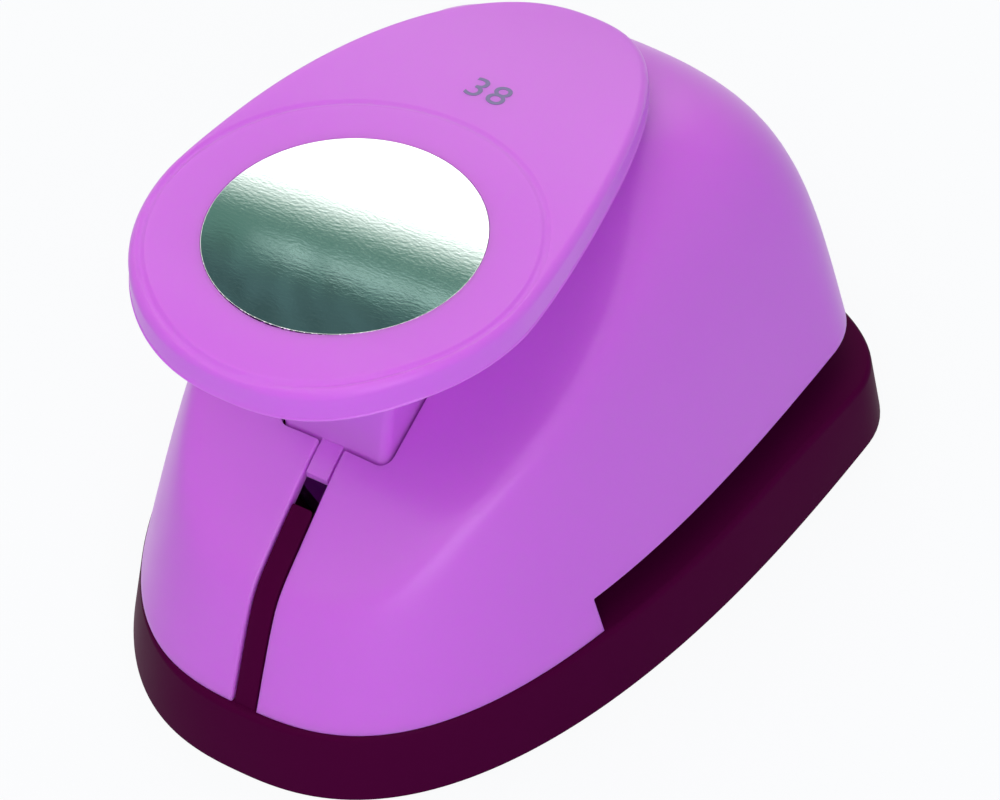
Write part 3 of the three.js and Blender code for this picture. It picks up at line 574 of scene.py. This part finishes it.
def make_slot_rib():
    """The rib just behind the front line of the dome, as wide as the slot less its clearance."""
    shares = np.linspace(0, RIB_LINE_END, RIB_SAMPLES)
    front = np.array([dome_points(share, np.array([0.0]), 0.0)[0] for share in shares])
    top = ramp_height(0.0, RIB_TOP_Y) - RIB_SETBACK
    half = SLOT_HALF - CLEARANCE
    turn = quarter(EDGE_STEPS)
    inward = RIB_CORNER * (1 - np.cos(turn))
    backward = RIB_CORNER * (1 - np.sin(turn))
    across = np.r_[-half, inward - half, (half - inward)[::-1], half]
    sunk = np.r_[RIB_DEPTH, backward, backward[::-1], RIB_DEPTH]
    reach = top - RIB_TOP_FALL * sunk / RIB_DEPTH
    rings = []
    for share in np.linspace(0, 1, RIB_RINGS):
        height = RIB_FOOT + (reach - RIB_FOOT) * share
        line = np.interp(np.maximum(height, BASE_HEIGHT), front[:, 2], front[:, 1]) + RIB_SETBACK
        rings.append(np.c_[across, line + sunk, height])
    return new_object("slot_rib", *closed_loft(rings), smooth_angle=RIB_SMOOTH_ANGLE)


# Base tray

def base_ring(inset, z, angles):
    front = BASE_LENGTH - BASE_TAIL - inset
    plan = egg(angles, BASE_HALF - inset, BASE_WIDEST, front, BASE_TAIL - inset, BASE_POWERS)
    return level(plan, z)


def base_flare(angles):
    """How far the wall leans in on its way up, less round the back."""
    y = base_ring(0, 0, angles)[:, 1]
    share = np.clip((y - BASE_WIDEST + BASE_FLARE_AHEAD) / BASE_FLARE_BLEND, 0, 1)
    return BASE_FLARE + (BASE_FLARE_BACK - BASE_FLARE) * ease(share)


def make_base(bosses, holes):
    """The tray: an egg with a rounded top edge, hollow below, with a recess for the die plate."""
    angles = even_angles(lambda a: base_ring(0, 0, a)[:, :2], BASE_STEPS)
    flare = base_flare(angles)
    rows = [(0.0, BASE_CHAMFER), (BASE_CHAMFER, 0.0)]
    for turn in quarter(BASE_EDGE_STEPS):
        rows.append((BASE_HEIGHT - BASE_EDGE * (1 - math.sin(turn)), BASE_EDGE * (1 - math.cos(turn))))
    rings = [base_ring(flare * z / BASE_HEIGHT + inward, z, angles) for z, inward in rows]
    base = new_object("base_tray", *closed_loft(rings))
    cut(base, *closed_loft([base_ring(BASE_FOOT, z, angles) for z in (-OVERRUN, DECK_FOOT)]))
    for boss in bosses:
        boolean(base, new_object("boss", *cylinder(*boss)), "UNION")
    cut(base, *prism(plate_outline(CLEARANCE), DIE_FOOT, BASE_HEIGHT + OVERRUN))
    for hole in holes:
        cut(base, *cylinder(*hole))
    smooth(base, SMOOTH_ANGLE)
    return base


# Thumb press

def pad_drop(y):
    """How far the bent pad lies under its level middle."""
    ahead = np.maximum(PRESS_LEVEL_FRONT - y, 0)
    behind = np.maximum(y - PRESS_LEVEL_BACK, 0)
    return ahead ** 2 / (2 * PRESS_NOSE_BEND) + behind ** 2 / (2 * PRESS_TAIL_BEND)


def pad_thinning(y):
    """Thickness of the pad at a line across it, as a share of that at the front."""
    return 1 - (1 - PRESS_TAIL_THICKNESS / PRESS_THICKNESS) * np.maximum(y, 0) / PRESS_TAIL


def on_pad(plan, depth):
    """Points of the pad at a depth under its top, with the ring pressed into the top."""
    x, y = plan[:, 0], plan[:, 1]
    from_ring = (np.hypot(x, y - RING_Y) - RING_RADIUS) / RING_HALF
    fade = 1 - RING_FADE * np.clip(y / RING_RADIUS, 0, 1)
    ring = np.clip(1 - from_ring ** 2, 0, 1) ** RING_POWER * fade
    pressed = RING_DEPTH * ring if depth < PRESS_THICKNESS / 3 else 0
    return np.c_[plan, -depth * pad_thinning(y) - pad_drop(y) - pressed]


def press_profile():
    """Inset and depth of the rim of the pad, from the underside up to the flat top."""
    rows = [(inset, PRESS_THICKNESS - rise) for inset, rise in LIP_ROWS]
    rows += SIDE_ROWS
    for turn in np.radians(np.linspace(RIM_START, 90, RIM_ROWS)):
        inward = PRESS_LIP + PRESS_DRAFT + RIM_ROUNDING * (1 - math.cos(turn))
        rows.append((inward, RIM_ROUNDING * (1 - math.sin(turn))))
    return rows


def pad_egg(angles, inset):
    sizes = (PRESS_HALF - inset, PRESS_WIDEST, PRESS_NOSE - inset, PRESS_TAIL - inset)
    return egg(angles, *sizes, PRESS_POWERS)


def between(first, last, count):
    """Even steps from one value to another, without the two ends."""
    return [first + (last - first) * share for share in np.linspace(0, 1, count)[1:-1]]


def underside_rings(edge):
    centre = np.array((0, PRESS_TAIL / 6))
    shares = np.linspace(UNDERSIDE_START, 1, UNDERSIDE_RINGS)[:-1]
    return [on_pad(centre + (edge - centre) * share, PRESS_THICKNESS) for share in shares]


def top_rings(edge):
    """Rings of the top: its border, the pressed ring, the field in it and the disc's pocket."""
    reach = np.linalg.norm(edge, axis=1)
    away = edge / reach[:, None]
    fit = np.minimum(1, (reach - RING_MARGIN) / (RING_RADIUS + RING_BAND))
    outer, inner = (RING_RADIUS + RING_BAND) * fit, (RING_RADIUS - RING_BAND) * fit
    pocket = POCKET_RADIUS + POCKET_EDGE
    radii = between(reach, outer, BORDER_RINGS)
    radii += [(RING_RADIUS + offset) * fit for offset in np.linspace(RING_BAND, -RING_BAND, BAND_RINGS)]
    radii += between(inner, pocket, FIELD_RINGS)
    rings = [on_pad(away * radius[:, None], 0) for radius in radii]
    for turn in quarter(EDGE_STEPS):
        radius = pocket - POCKET_EDGE * math.sin(turn)
        rings.append(on_pad(away * radius, POCKET_EDGE * (1 - math.cos(turn))))
    rings.append(level(away * POCKET_RADIUS, -POCKET_DEPTH))
    return rings


def to_press(points):
    """Moves points from the pad's own frame to its place on the punch."""
    tilt = np.array(Matrix.Rotation(PRESS_TILT, 3, "X"))
    return np.array(points) @ tilt.T + (0, PRESS_Y, PRESS_Z)


def make_pad():
    angles = even_angles(lambda a: pad_egg(a, 0), PAD_STEPS)
    profile = press_profile()
    rings = underside_rings(pad_egg(angles, profile[0][0]))
    rings += [on_pad(pad_egg(angles, inset), depth) for inset, depth in profile]
    rings += top_rings(pad_egg(angles, profile[-1][0]))
    vertices, faces = closed_loft(rings)
    return new_object("thumb_press_moulding", to_press(vertices), faces)


def make_neck():
    """The neck down through the housing, with the pocket that takes the lever arm."""
    knee = float(ramp_height(0.0, NECK_FRONT))
    rings = []
    for z in (NECK_FOOT, knee, PRESS_Z - PRESS_THICKNESS + OVERLAP):
        low, high = (-NECK_HALF, NECK_FRONT + NECK_LEAN * max(0.0, z - knee)), (NECK_HALF, NECK_BACK)
        rings.append(level(rounded_rectangle(low, high, NECK_CORNER, NECK_CORNER_STEPS), z))
    neck = new_object("neck", *closed_loft(rings))
    half, front, back = NECK_POCKET_HALF, NECK_POCKET_FRONT, NECK_BACK + OVERRUN
    pocket = np.array([(-half, front), (half, front), (half, back), (-half, back)])
    return cut(neck, *prism(pocket, NECK_FOOT - OVERRUN, NECK_POCKET_TOP))


def make_fin():
    """The fin in front of the neck, which slides down in the slot."""
    front, back = NECK_FRONT - TAB_LENGTH, NECK_FRONT + OVERLAP
    tops = [(y, float(ramp_height(0.0, y)) - CLEARANCE) for y in np.linspace(front, back, FIN_POINTS)]
    outline = [(back, tops[-1][1] - TAB_HEIGHT), (front, tops[0][1] - TAB_EDGE)] + tops
    half = SLOT_HALF - CLEARANCE
    rings = [[(x, y, z) for y, z in outline] for x in (half, -half)]
    return new_object("fin", *closed_loft(rings))


def make_thumb_press():
    press = make_pad()
    boolean(press, make_neck(), "UNION")
    boolean(press, make_fin(), "UNION")
    smooth(press, SMOOTH_ANGLE)
    return press


def make_disc():
    """Foil-faced disc, a little fuller in the middle, as foil on card lies."""
    angle = full_turn(DISC_STEPS)
    rim = np.c_[np.sin(angle), -np.cos(angle)]
    flat = CIRCLE_RADIUS - DISC_EDGE
    rings = [level(rim * flat, -DISC_THICKNESS), level(rim * CIRCLE_RADIUS, DISC_EDGE - DISC_THICKNESS)]
    for turn in quarter(EDGE_STEPS):
        radius = CIRCLE_RADIUS - DISC_EDGE * (1 - math.cos(turn))
        rings.append(level(rim * radius, DISC_EDGE * (math.sin(turn) - 1) - DISC_SINK))
    for share in DISC_SHARES:
        fullness = 1 - (flat * share / CIRCLE_RADIUS) ** 2
        rings.append(level(rim * flat * share, DISC_FULLNESS * fullness - DISC_SINK))
    vertices, faces = closed_loft(rings)
    return new_object("foil_disc", to_press(vertices), faces, smooth_angle=SMOOTH_ANGLE)


def make_size_mark():
    """A plain number where the size stands on the pad, printed in grey."""
    curve = bpy.data.curves.new("size_mark", "FONT")
    curve.body = "38"
    curve.size = MARK_HEIGHT * MM
    curve.align_x, curve.align_y = "CENTER", "CENTER"
    curve.extrude = MARK_THICKNESS * MM
    curve.space_character = MARK_SPACING
    text = add_object("size_mark", curve)
    bpy.context.view_layer.update()
    graph = bpy.context.evaluated_depsgraph_get()
    mesh = bpy.data.meshes.new_from_object(text.evaluated_get(graph))
    for vertex in mesh.vertices:
        x, y, z = vertex.co / MM
        y += MARK_Y
        vertex.co = Vector(to_press((x, y, z + MARK_LIFT - float(pad_drop(y))))) * MM
    bpy.data.objects.remove(text)
    return add_object("size_mark", mesh)


# Springs

def box_middle(node):
    """Middle of the box of a CAD node, in millimetres."""
    low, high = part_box(node)
    return (low + high) / 2 / MM


def make_spring(node, name):
    """A coil as tall as the CAD spring."""
    low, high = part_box(node)
    centre = box_middle(node)
    foot = low.z / MM + WIRE_RADIUS
    rise = high.z / MM - WIRE_RADIUS - foot
    count = COIL_TURNS * COIL_STEPS
    turn = full_turn(WIRE_SIDES)[:, None]
    rings = []
    for k in range(count + 1):
        angle = 2 * math.pi * k / COIL_STEPS
        outward = np.array([math.cos(angle), math.sin(angle), 0])
        wire = outward * COIL_RADIUS + (centre.x, centre.y, foot + rise * k / count)
        rings.append(wire + WIRE_RADIUS * (np.cos(turn) * outward - np.sin(turn) * (0, 0, 1)))
    return new_object(name, *closed_loft(rings), smooth_angle=WIRE_SMOOTH_ANGLE)


# Node trees

WHITE = (1.0, 1.0, 1.0, 1.0)
REFRACTION = 1.46


def srgb(red, green, blue):
    """A colour given in the usual 0 to 255 values, as the linear colour a shader takes."""
    def linear(value):
        value /= 255
        return value / 12.92 if value <= 0.04045 else ((value + 0.055) / 1.055) ** 2.4
    return (linear(red), linear(green), linear(blue), 1.0)


class Nodes:
    """Short ways to add nodes to a tree."""

    def __init__(self, tree):
        self.tree = tree

    def node(self, kind, **settings):
        node = self.tree.nodes.new(kind)
        for key, value in settings.items():
            setattr(node, key, value)
        return node

    def link(self, source, target):
        self.tree.links.new(source, target)

    def feed(self, source, target):
        """Links a socket to the target, or gives the target a plain value."""
        if hasattr(source, "is_output"):
            self.link(source, target)
        else:
            target.default_value = source

    def calculate(self, operation, *values, clamp=False):
        node = self.node("ShaderNodeMath", operation=operation, use_clamp=clamp)
        for value, target in zip(values, node.inputs):
            self.feed(value, target)
        return node.outputs["Value"]

    def remap(self, source, low, high, start=0.0, end=1.0):
        """The stretch of a value from start to end, as low to high."""
        node = self.node("ShaderNodeMapRange")
        self.link(source, node.inputs["Value"])
        node.inputs["From Min"].default_value = start
        node.inputs["From Max"].default_value = end
        node.inputs["To Min"].default_value = low
        node.inputs["To Max"].default_value = high
        return node.outputs["Result"]

    def mixed(self, factor, first, second, blend="MIX"):
        node = self.node("ShaderNodeMix", data_type="RGBA", blend_type=blend)
        self.feed(factor, node.inputs["Factor"])
        self.feed(first, node.inputs["A"])
        self.feed(second, node.inputs["B"])
        return node.outputs["Result"]

    def seen_directly(self):
        """One for rays of the camera and for what gloss and glass show, which see a white room."""
        path = self.node("ShaderNodeLightPath").outputs
        total = path["Is Camera Ray"]
        for kind in ("Is Glossy Ray", "Is Transmission Ray"):
            total = self.calculate("ADD", total, path[kind], clamp=True)
        return total


class Shader(Nodes):
    """A material being built, with its Principled node and the object's own places."""

    def __init__(self, name, roughness, metallic=0.0):
        self.material = bpy.data.materials.new(name)
        self.material.use_nodes = True
        super().__init__(self.material.node_tree)
        self.principled = self.tree.nodes["Principled BSDF"]
        self.set("Roughness", roughness)
        self.set("Metallic", metallic)
        self.set("IOR", REFRACTION)
        self.place = self.node("ShaderNodeTexCoord").outputs["Object"]

    def set(self, socket, source):
        self.feed(source, self.principled.inputs[socket])

    def axes(self, vector):
        node = self.node("ShaderNodeSeparateXYZ")
        self.link(vector, node.inputs["Vector"])
        return node.outputs

    def noise(self, per_metre, detail=2.0, roughness=0.5, stretch=None):
        noise = self.node("ShaderNodeTexNoise")
        noise.inputs["Scale"].default_value = per_metre
        noise.inputs["Detail"].default_value = detail
        noise.inputs["Roughness"].default_value = roughness
        source = self.place
        if stretch:
            mapping = self.node("ShaderNodeMapping")
            mapping.inputs["Scale"].default_value = stretch
            self.link(self.place, mapping.inputs["Vector"])
            source = mapping.outputs["Vector"]
        self.link(source, noise.inputs["Vector"])
        return noise.outputs["Fac"]

    def bump(self, height, strength, distance):
        node = self.node("ShaderNodeBump")
        node.inputs["Strength"].default_value = strength
        node.inputs["Distance"].default_value = distance
        self.link(height, node.inputs["Height"])
        self.set("Normal", node.outputs["Normal"])

    def uneven_gloss(self, per_metre, roughness, spread):
        patches = self.noise(per_metre, detail=4.0, roughness=0.6)
        self.set("Roughness", self.remap(patches, roughness + spread[0], roughness + spread[1]))

    def glow(self, colour):
        node = self.node("ShaderNodeEmission")
        self.feed(colour, node.inputs["Color"])
        return node.outputs["Emission"]

    def show(self, surface):
        self.link(surface, self.tree.nodes["Material Output"].inputs["Surface"])


# Materials, with depths in metres and patterns counted per metre

PLASTIC_FLOW, PLASTIC_PATCHES, PLASTIC_GRAIN = 28, 90, 1700
PLASTIC_FLOW_RANGE = (0.0, 0.5)
PLASTIC_GLOSS_SPREAD = (-0.05, 0.07)
PLASTIC_GRAIN_DEPTH = 0.0002
METAL_PATCHES, METAL_LINES = 120, 900
METAL_GLOSS_SPREAD = (-0.06, 0.1)
METAL_LINE_DEPTH = 0.0001
METAL_LINE_SHADE = 0.82
GLOW_RADIUS = (1.0, 0.25, 0.95)
GLOW_DEPTH = 0.004
FOIL_COLOUR = srgb(243, 250, 247)
FOIL_ROUGHNESS = 0.035
FOIL_WAVE, FOIL_SPECKS, FOIL_RIPPLE = 1100, 2600, 4200
FOIL_WAVE_SHARE = 1.6
FOIL_RIPPLE_DEPTH = 0.0000017
SPECK_COLOUR = srgb(70, 66, 84)
SPECK_FROM = 0.57
FLAT_FROM = 0.95


def moulded_plastic(name, colour, deep, roughness, gloss, grain=0.035, glow=0.0):
    """Satin moulded plastic: faint flow shading, fine grain and uneven gloss."""
    look = Shader(name, roughness)
    look.set("Specular IOR Level", gloss)
    flow = look.remap(look.noise(PLASTIC_FLOW, detail=3.0), *PLASTIC_FLOW_RANGE)
    look.set("Base Color", look.mixed(flow, colour, deep))
    look.uneven_gloss(PLASTIC_PATCHES, roughness, PLASTIC_GLOSS_SPREAD)
    look.bump(look.noise(PLASTIC_GRAIN, roughness=0.55), grain, PLASTIC_GRAIN_DEPTH)
    if glow:
        look.set("Subsurface Weight", glow)
        look.set("Subsurface Radius", GLOW_RADIUS)
        look.set("Subsurface Scale", GLOW_DEPTH)
    return look.material


def metal(name, colour, roughness, stretch, grain=0.12):
    """Metal with fine lines along one direction and uneven polish."""
    look = Shader(name, roughness, metallic=1.0)
    lines = look.noise(METAL_LINES, detail=3.0, roughness=0.6, stretch=stretch)
    shade = tuple(c * METAL_LINE_SHADE for c in colour[:3]) + (1.0,)
    look.set("Base Color", look.mixed(lines, shade, colour))
    look.uneven_gloss(METAL_PATCHES, roughness, METAL_GLOSS_SPREAD)
    look.bump(lines, grain, METAL_LINE_DEPTH)
    return look.material


def foil_colour(look):
    """Bright on the face, speckled on the cut edge."""
    speck = look.calculate("GREATER_THAN", look.noise(FOIL_SPECKS, detail=1.0), SPECK_FROM)
    edge = look.mixed(speck, SPECK_COLOUR, FOIL_COLOUR)
    normal = look.node("ShaderNodeNewGeometry").outputs["Normal"]
    flat = look.calculate("GREATER_THAN", look.axes(normal)["Z"], FLAT_FROM)
    return look.mixed(flat, edge, FOIL_COLOUR)


def foil(name):
    """Bright foil with the fine ripple of foil laid on card."""
    look = Shader(name, FOIL_ROUGHNESS, metallic=1.0)
    look.set("Base Color", foil_colour(look))
    ripple = look.noise(FOIL_RIPPLE, detail=3.0, roughness=0.65)
    wave = look.noise(FOIL_WAVE, stretch=(1.0, 2.2, 1.0))
    relief = look.calculate("MULTIPLY_ADD", wave, FOIL_WAVE_SHARE, ripple)
    look.bump(relief, 1.0, FOIL_RIPPLE_DEPTH)
    return look.material


PINK = moulded_plastic(
    "pink_plastic", srgb(227, 114, 236), srgb(222, 108, 232), roughness=0.31, gloss=0.45, glow=0.5
)
MAROON = moulded_plastic(
    "maroon_plastic", srgb(78, 2, 52), srgb(72, 1, 47), roughness=0.45, gloss=0.02, grain=0.05
)
INK = moulded_plastic("grey_ink", srgb(141, 128, 169), srgb(132, 120, 160), roughness=0.5, gloss=0.3)
PLATE = metal("plate_steel", srgb(196, 199, 202), roughness=0.34, stretch=(1, 14, 1))
TOOL = metal("tool_steel", srgb(168, 171, 175), roughness=0.27, stretch=(1, 1, 16))
ZINC = metal("zinc_steel", srgb(206, 209, 213), roughness=0.26, stretch=(1, 1, 6), grain=0.06)
WIRE = metal("spring_wire", srgb(178, 182, 187), roughness=0.25, stretch=(4, 4, 1), grain=0.06)
FOIL = foil("mirror_foil")

LOOK_OF_SLOT = {
    "pink_plastic": PINK,
    "maroon_plastic": MAROON,
    "plate_steel": PLATE,
    "tool_steel": TOOL,
    "zinc_steel": ZINC,
    "spring_steel": WIRE,
    "mirror_foil": FOIL,
}


# Put the pieces together

def wear(obj, look):
    obj.data.materials.clear()
    obj.data.materials.append(look)


def dress_cad_nodes():
    """Carried-over nodes keep their shape and get soft edges and their material."""
    slots = {row["node"]: row["material_slot"] for row in frame["record"]["subparts"]}
    for name, obj in frame["nodes"].items():
        wear(obj, LOOK_OF_SLOT[slots[name]])
        smooth(obj, CAD_SMOOTH_ANGLE)
        bevel = obj.modifiers.new("edges", "BEVEL")
        bevel.width = CAD_BEVEL * MM
        bevel.segments = CAD_BEVEL_SEGMENTS
        bevel.limit_method = "ANGLE"
        bevel.angle_limit = math.radians(CAD_BEVEL_ANGLE)


def place(obj, body, look, slot, *nodes):
    """Gives a piece its material and its body, and hides the CAD nodes that it stands for."""
    wear(obj, look)
    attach(obj, body)
    if nodes:
        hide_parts(*nodes)


# Foot and top of the hole for each kind of screw in the base
HOLE_SPANS = {
    "plate_screw": (COVER_THICKNESS + BLIND_FLOOR, BASE_HEIGHT),
    "die_screw": (COVER_THICKNESS + BLIND_FLOOR, BASE_HEIGHT),
    "housing_screw": (-OVERRUN, BASE_HEIGHT + OVERRUN),
    "cover_screw": (-OVERRUN, COVER_THICKNESS + COVER_SCREW_DEPTH),
}


def base_features():
    """Bosses and holes of the base: one pair for each of its screws, and the wall of the window."""
    boss_top = DECK_FOOT + OVERLAP
    bosses, holes = [], []
    for name in frame["nodes"]:
        span = HOLE_SPANS.get(name.rsplit("_", 1)[0])
        if span:
            at = box_middle(name)
            bosses.append((at.x, at.y, BOSS_RADIUS, COVER_THICKNESS, boss_top))
            holes.append((at.x, at.y, SCREW_HOLE_RADIUS, *span))
    bosses.append((0, PUNCH_Y, WINDOW_RADIUS + BASE_WALL, COVER_THICKNESS, boss_top))
    holes.append((0, PUNCH_Y, WINDOW_RADIUS, -OVERRUN, BASE_HEIGHT))
    return bosses, holes


def place_spring(side):
    """A return spring in place of the CAD spring, a coil that keeps its length as the cutter goes down.
    """
    node = "return_spring_" + side
    spring = make_spring(node, "spring_coil_" + side)
    place(spring, "body", WIRE, "spring_steel", node)
    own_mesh(spring)


def build_punch():
    dress_cad_nodes()
    place(make_housing(), "body", PINK, "pink_plastic", "housing")
    place(make_base(*base_features()), "body", MAROON, "maroon_plastic", "base_shell")
    place(make_slot_rib(), "body", MAROON, "maroon_plastic")
    place(make_thumb_press(), "lever", PINK, "pink_plastic", "thumb_press")
    place(make_disc(), "lever", FOIL, "mirror_foil", "size_disc")
    place(make_size_mark(), "lever", INK, None)
    place_spring("left")
    place_spring("right")


# Camera, with angles in degrees, places in metres and the lens in millimetres

AZIMUTH, ELEVATION, ROLL = 37.57, 46.09, -6
CAMERA_AWAY = 0.84544
CAMERA_TARGET = Vector((0, 0.00992, 0.01235))
LENS, SENSOR = 216, 36
NEAR, FAR = 0.05, 20


def add_camera():
    azimuth, elevation, roll = math.radians(AZIMUTH), math.radians(ELEVATION), math.radians(ROLL)
    back = Vector((
        math.sin(azimuth) * math.cos(elevation),
        -math.cos(azimuth) * math.cos(elevation),
        math.sin(elevation),
    ))
    sideways = Vector((math.cos(azimuth), math.sin(azimuth), 0))
    upright = back.cross(sideways)
    right = sideways * math.cos(roll) + upright * math.sin(roll)
    up = upright * math.cos(roll) - sideways * math.sin(roll)
    camera = bpy.data.cameras.new("camera")
    camera.sensor_width = SENSOR
    camera.lens = LENS
    camera.clip_start, camera.clip_end = NEAR, FAR
    obj = add_object("camera", camera)
    turn = Matrix((right, up, back)).transposed().to_4x4()
    obj.matrix_world = Matrix.Translation(CAMERA_TARGET + back * CAMERA_AWAY) @ turn
    bpy.context.scene.camera = obj


# Studio. Places and sizes of lights are in metres, their power in watts, the floor in millimetres

COOL = (0.8, 0.98, 1.25, 1.0)
WARM = (1.0, 0.97, 0.9)
BLUISH = (0.93, 0.97, 1.0)
WORLD_LIGHT = 0.27
LIGHT_TARGET = (0, 0, 0.03)
LIGHTS = (
    ("overhead", (-0.16, -0.36, 1.05), 1.2, 4.2, WARM),
    ("back", (-0.5, 0.73, 0.8), 1.2, 4.0, WARM),
    ("front", (0.58, -0.56, 0.52), 0.7, 3.1, BLUISH),
)
FLOOR_HALF = 4000.0
FLOOR_COLOUR = (0.74, 0.85, 0.94, 1.0)
FLOOR_ROUGHNESS = 0.8
FLOOR_WHITE_SHARE = 0.92


def light_world():
    """Dim bluish light from all round, and plain white where the room is seen directly."""
    world = bpy.data.worlds.new("studio")
    bpy.context.scene.world = world
    world.use_nodes = True
    nodes = Nodes(world.node_tree)
    background = world.node_tree.nodes["Background"]
    seen = nodes.seen_directly()
    nodes.link(nodes.remap(seen, WORLD_LIGHT, 1.0), background.inputs["Strength"])
    nodes.link(nodes.mixed(seen, COOL, WHITE), background.inputs["Color"])


def add_area(name, location, size, power, colour):
    light = bpy.data.lights.new(name, "AREA")
    light.shape = "DISK"
    light.size = size
    light.energy = power
    light.color = colour
    obj = add_object(name, light)
    obj.location = location
    obj.rotation_euler = (Vector(LIGHT_TARGET) - Vector(location)).to_track_quat("-Z", "Y").to_euler()


def square(name, half):
    corners = [(-half, -half, 0), (half, -half, 0), (half, half, 0), (-half, half, 0)]
    return new_object(name, corners, [(0, 1, 2, 3)])


def stage_floor():
    """A floor that is nearly plain white where it is seen directly, and keeps the shadow."""
    floor = square("floor", FLOOR_HALF)
    look = Shader("studio_floor", FLOOR_ROUGHNESS)
    look.set("Base Color", FLOOR_COLOUR)
    blend = look.node("ShaderNodeMixShader")
    look.link(look.calculate("MULTIPLY", look.seen_directly(), FLOOR_WHITE_SHARE), blend.inputs["Fac"])
    look.link(look.principled.outputs["BSDF"], blend.inputs[1])
    look.link(look.glow(WHITE), blend.inputs[2])
    look.show(blend.outputs["Shader"])
    wear(floor, look.material)


# The card that the foil mirrors. Distances are in metres, its half side in millimetres, and lines
# on it are counted in points of the picture

CARD_AWAY = 0.2
CARD_HALF = 32.0
EYE_TO_DISC = 0.7876
PICTURE_WIDTH = 1000
POINT = (EYE_TO_DISC + CARD_AWAY) / (PICTURE_WIDTH * LENS / SENSOR)
CARD_TILT = 0.34
CARD_STEPS = (
    (-40, (1.5, 1.5, 1.5, 1.0)),
    (-24, srgb(236, 246, 241)),
    (-11, srgb(158, 187, 175)),
    (2, srgb(92, 128, 118)),
    (25, srgb(90, 128, 118)),
    (80, srgb(66, 92, 94)),
)
CARD_BAND = ((27, 0.0), (33, 1.0), (42, 1.0), (48, 0.0))
CARD_BAND_COLOUR = srgb(176, 208, 202)
CARD_BAND_START = (-105, -60)
CARD_LOW_PART = (-20, -60)
MOTTLE_PER_METRE, MOTTLE_RANGE = 260, (-0.6, 2.6)
SPARKLE_PER_METRE, SPARKLE_RANGE = 300, (-1.1, 2.9)


def card_span(look, source, low, high):
    """A place on the card as a share of the way from one line to another."""
    return look.remap(source, 0.0, 1.0, low * POINT, high * POINT)


def card_ramp(look, across, stops):
    """Colours from line to line of the card."""
    low, high = CARD_STEPS[0][0], CARD_STEPS[-1][0]
    node = look.node("ShaderNodeValToRGB")
    elements = node.color_ramp.elements
    first, *between_ends, last = [((at - low) / (high - low), colour) for at, colour in stops]
    for at, colour in between_ends:
        elements.new(at).color = colour
    for element, (at, colour) in ((elements[0], first), (elements[-1], last)):
        element.position = at
        element.color = colour
    look.link(card_span(look, across, -low, -high), node.inputs["Fac"])
    return node.outputs["Color"]


def card_ground(look, across):
    """Steps from light to dark, with a mottle in their low part."""
    steps = card_ramp(look, across, CARD_STEPS)
    patches = look.noise(MOTTLE_PER_METRE, detail=3.0, roughness=0.7)
    mottle = look.remap(patches, *MOTTLE_RANGE)
    dim = look.mixed(1.0, steps, mottle, blend="MULTIPLY")
    return look.mixed(card_span(look, across, *CARD_LOW_PART), steps, dim)


def card_glint(look, across, along):
    """How much of the bright band shows, broken by its sparkle."""
    band = card_ramp(look, across, [(at, (grey, grey, grey, 1.0)) for at, grey in CARD_BAND])
    share = look.calculate("MULTIPLY", band, card_span(look, along, *CARD_BAND_START))
    sparkle = look.noise(SPARKLE_PER_METRE, detail=3.0, roughness=0.7, stretch=(0.5, 1.6, 1.0))
    return look.calculate("MULTIPLY", share, look.remap(sparkle, *SPARKLE_RANGE), clamp=True)


def card_look():
    """Light and dark bands of the room that the foil mirrors, brighter towards the top."""
    look = Shader("foil_card", 1.0)
    axes = look.axes(look.place)
    across = look.calculate("MULTIPLY_ADD", axes["X"], CARD_TILT, axes["Y"])
    glint = card_glint(look, across, axes["X"])
    look.show(look.glow(look.mixed(glint, card_ground(look, across), CARD_BAND_COLOUR)))
    return look.material


def mirrored(direction):
    """A direction as the tilted disc mirrors it."""
    normal = Vector((0, -math.sin(PRESS_TILT), math.cos(PRESS_TILT)))
    return direction - 2 * direction.dot(normal) * normal


def add_foil_card():
    """A card out of shot that only the foil mirrors."""
    camera = bpy.context.scene.camera.matrix_world
    turn = camera.to_3x3()
    disc = Vector((0, PRESS_Y, PRESS_Z)) * MM
    ahead = mirrored((disc - camera.translation).normalized())
    axes = Matrix((mirrored(turn.col[0]), mirrored(turn.col[1]), -ahead)).transposed().to_4x4()
    card = square("foil_card", CARD_HALF)
    card.matrix_world = Matrix.Translation(disc + ahead * CARD_AWAY) @ axes
    wear(card, card_look())
    card.visible_camera = card.visible_diffuse = card.visible_shadow = False
    card.visible_transmission = False


add_camera()
light_world()
for light in LIGHTS:
    add_area(*light)
stage_floor()
add_foil_card()
bpy.context.scene.view_settings.view_transform = "Standard"
build_punch()
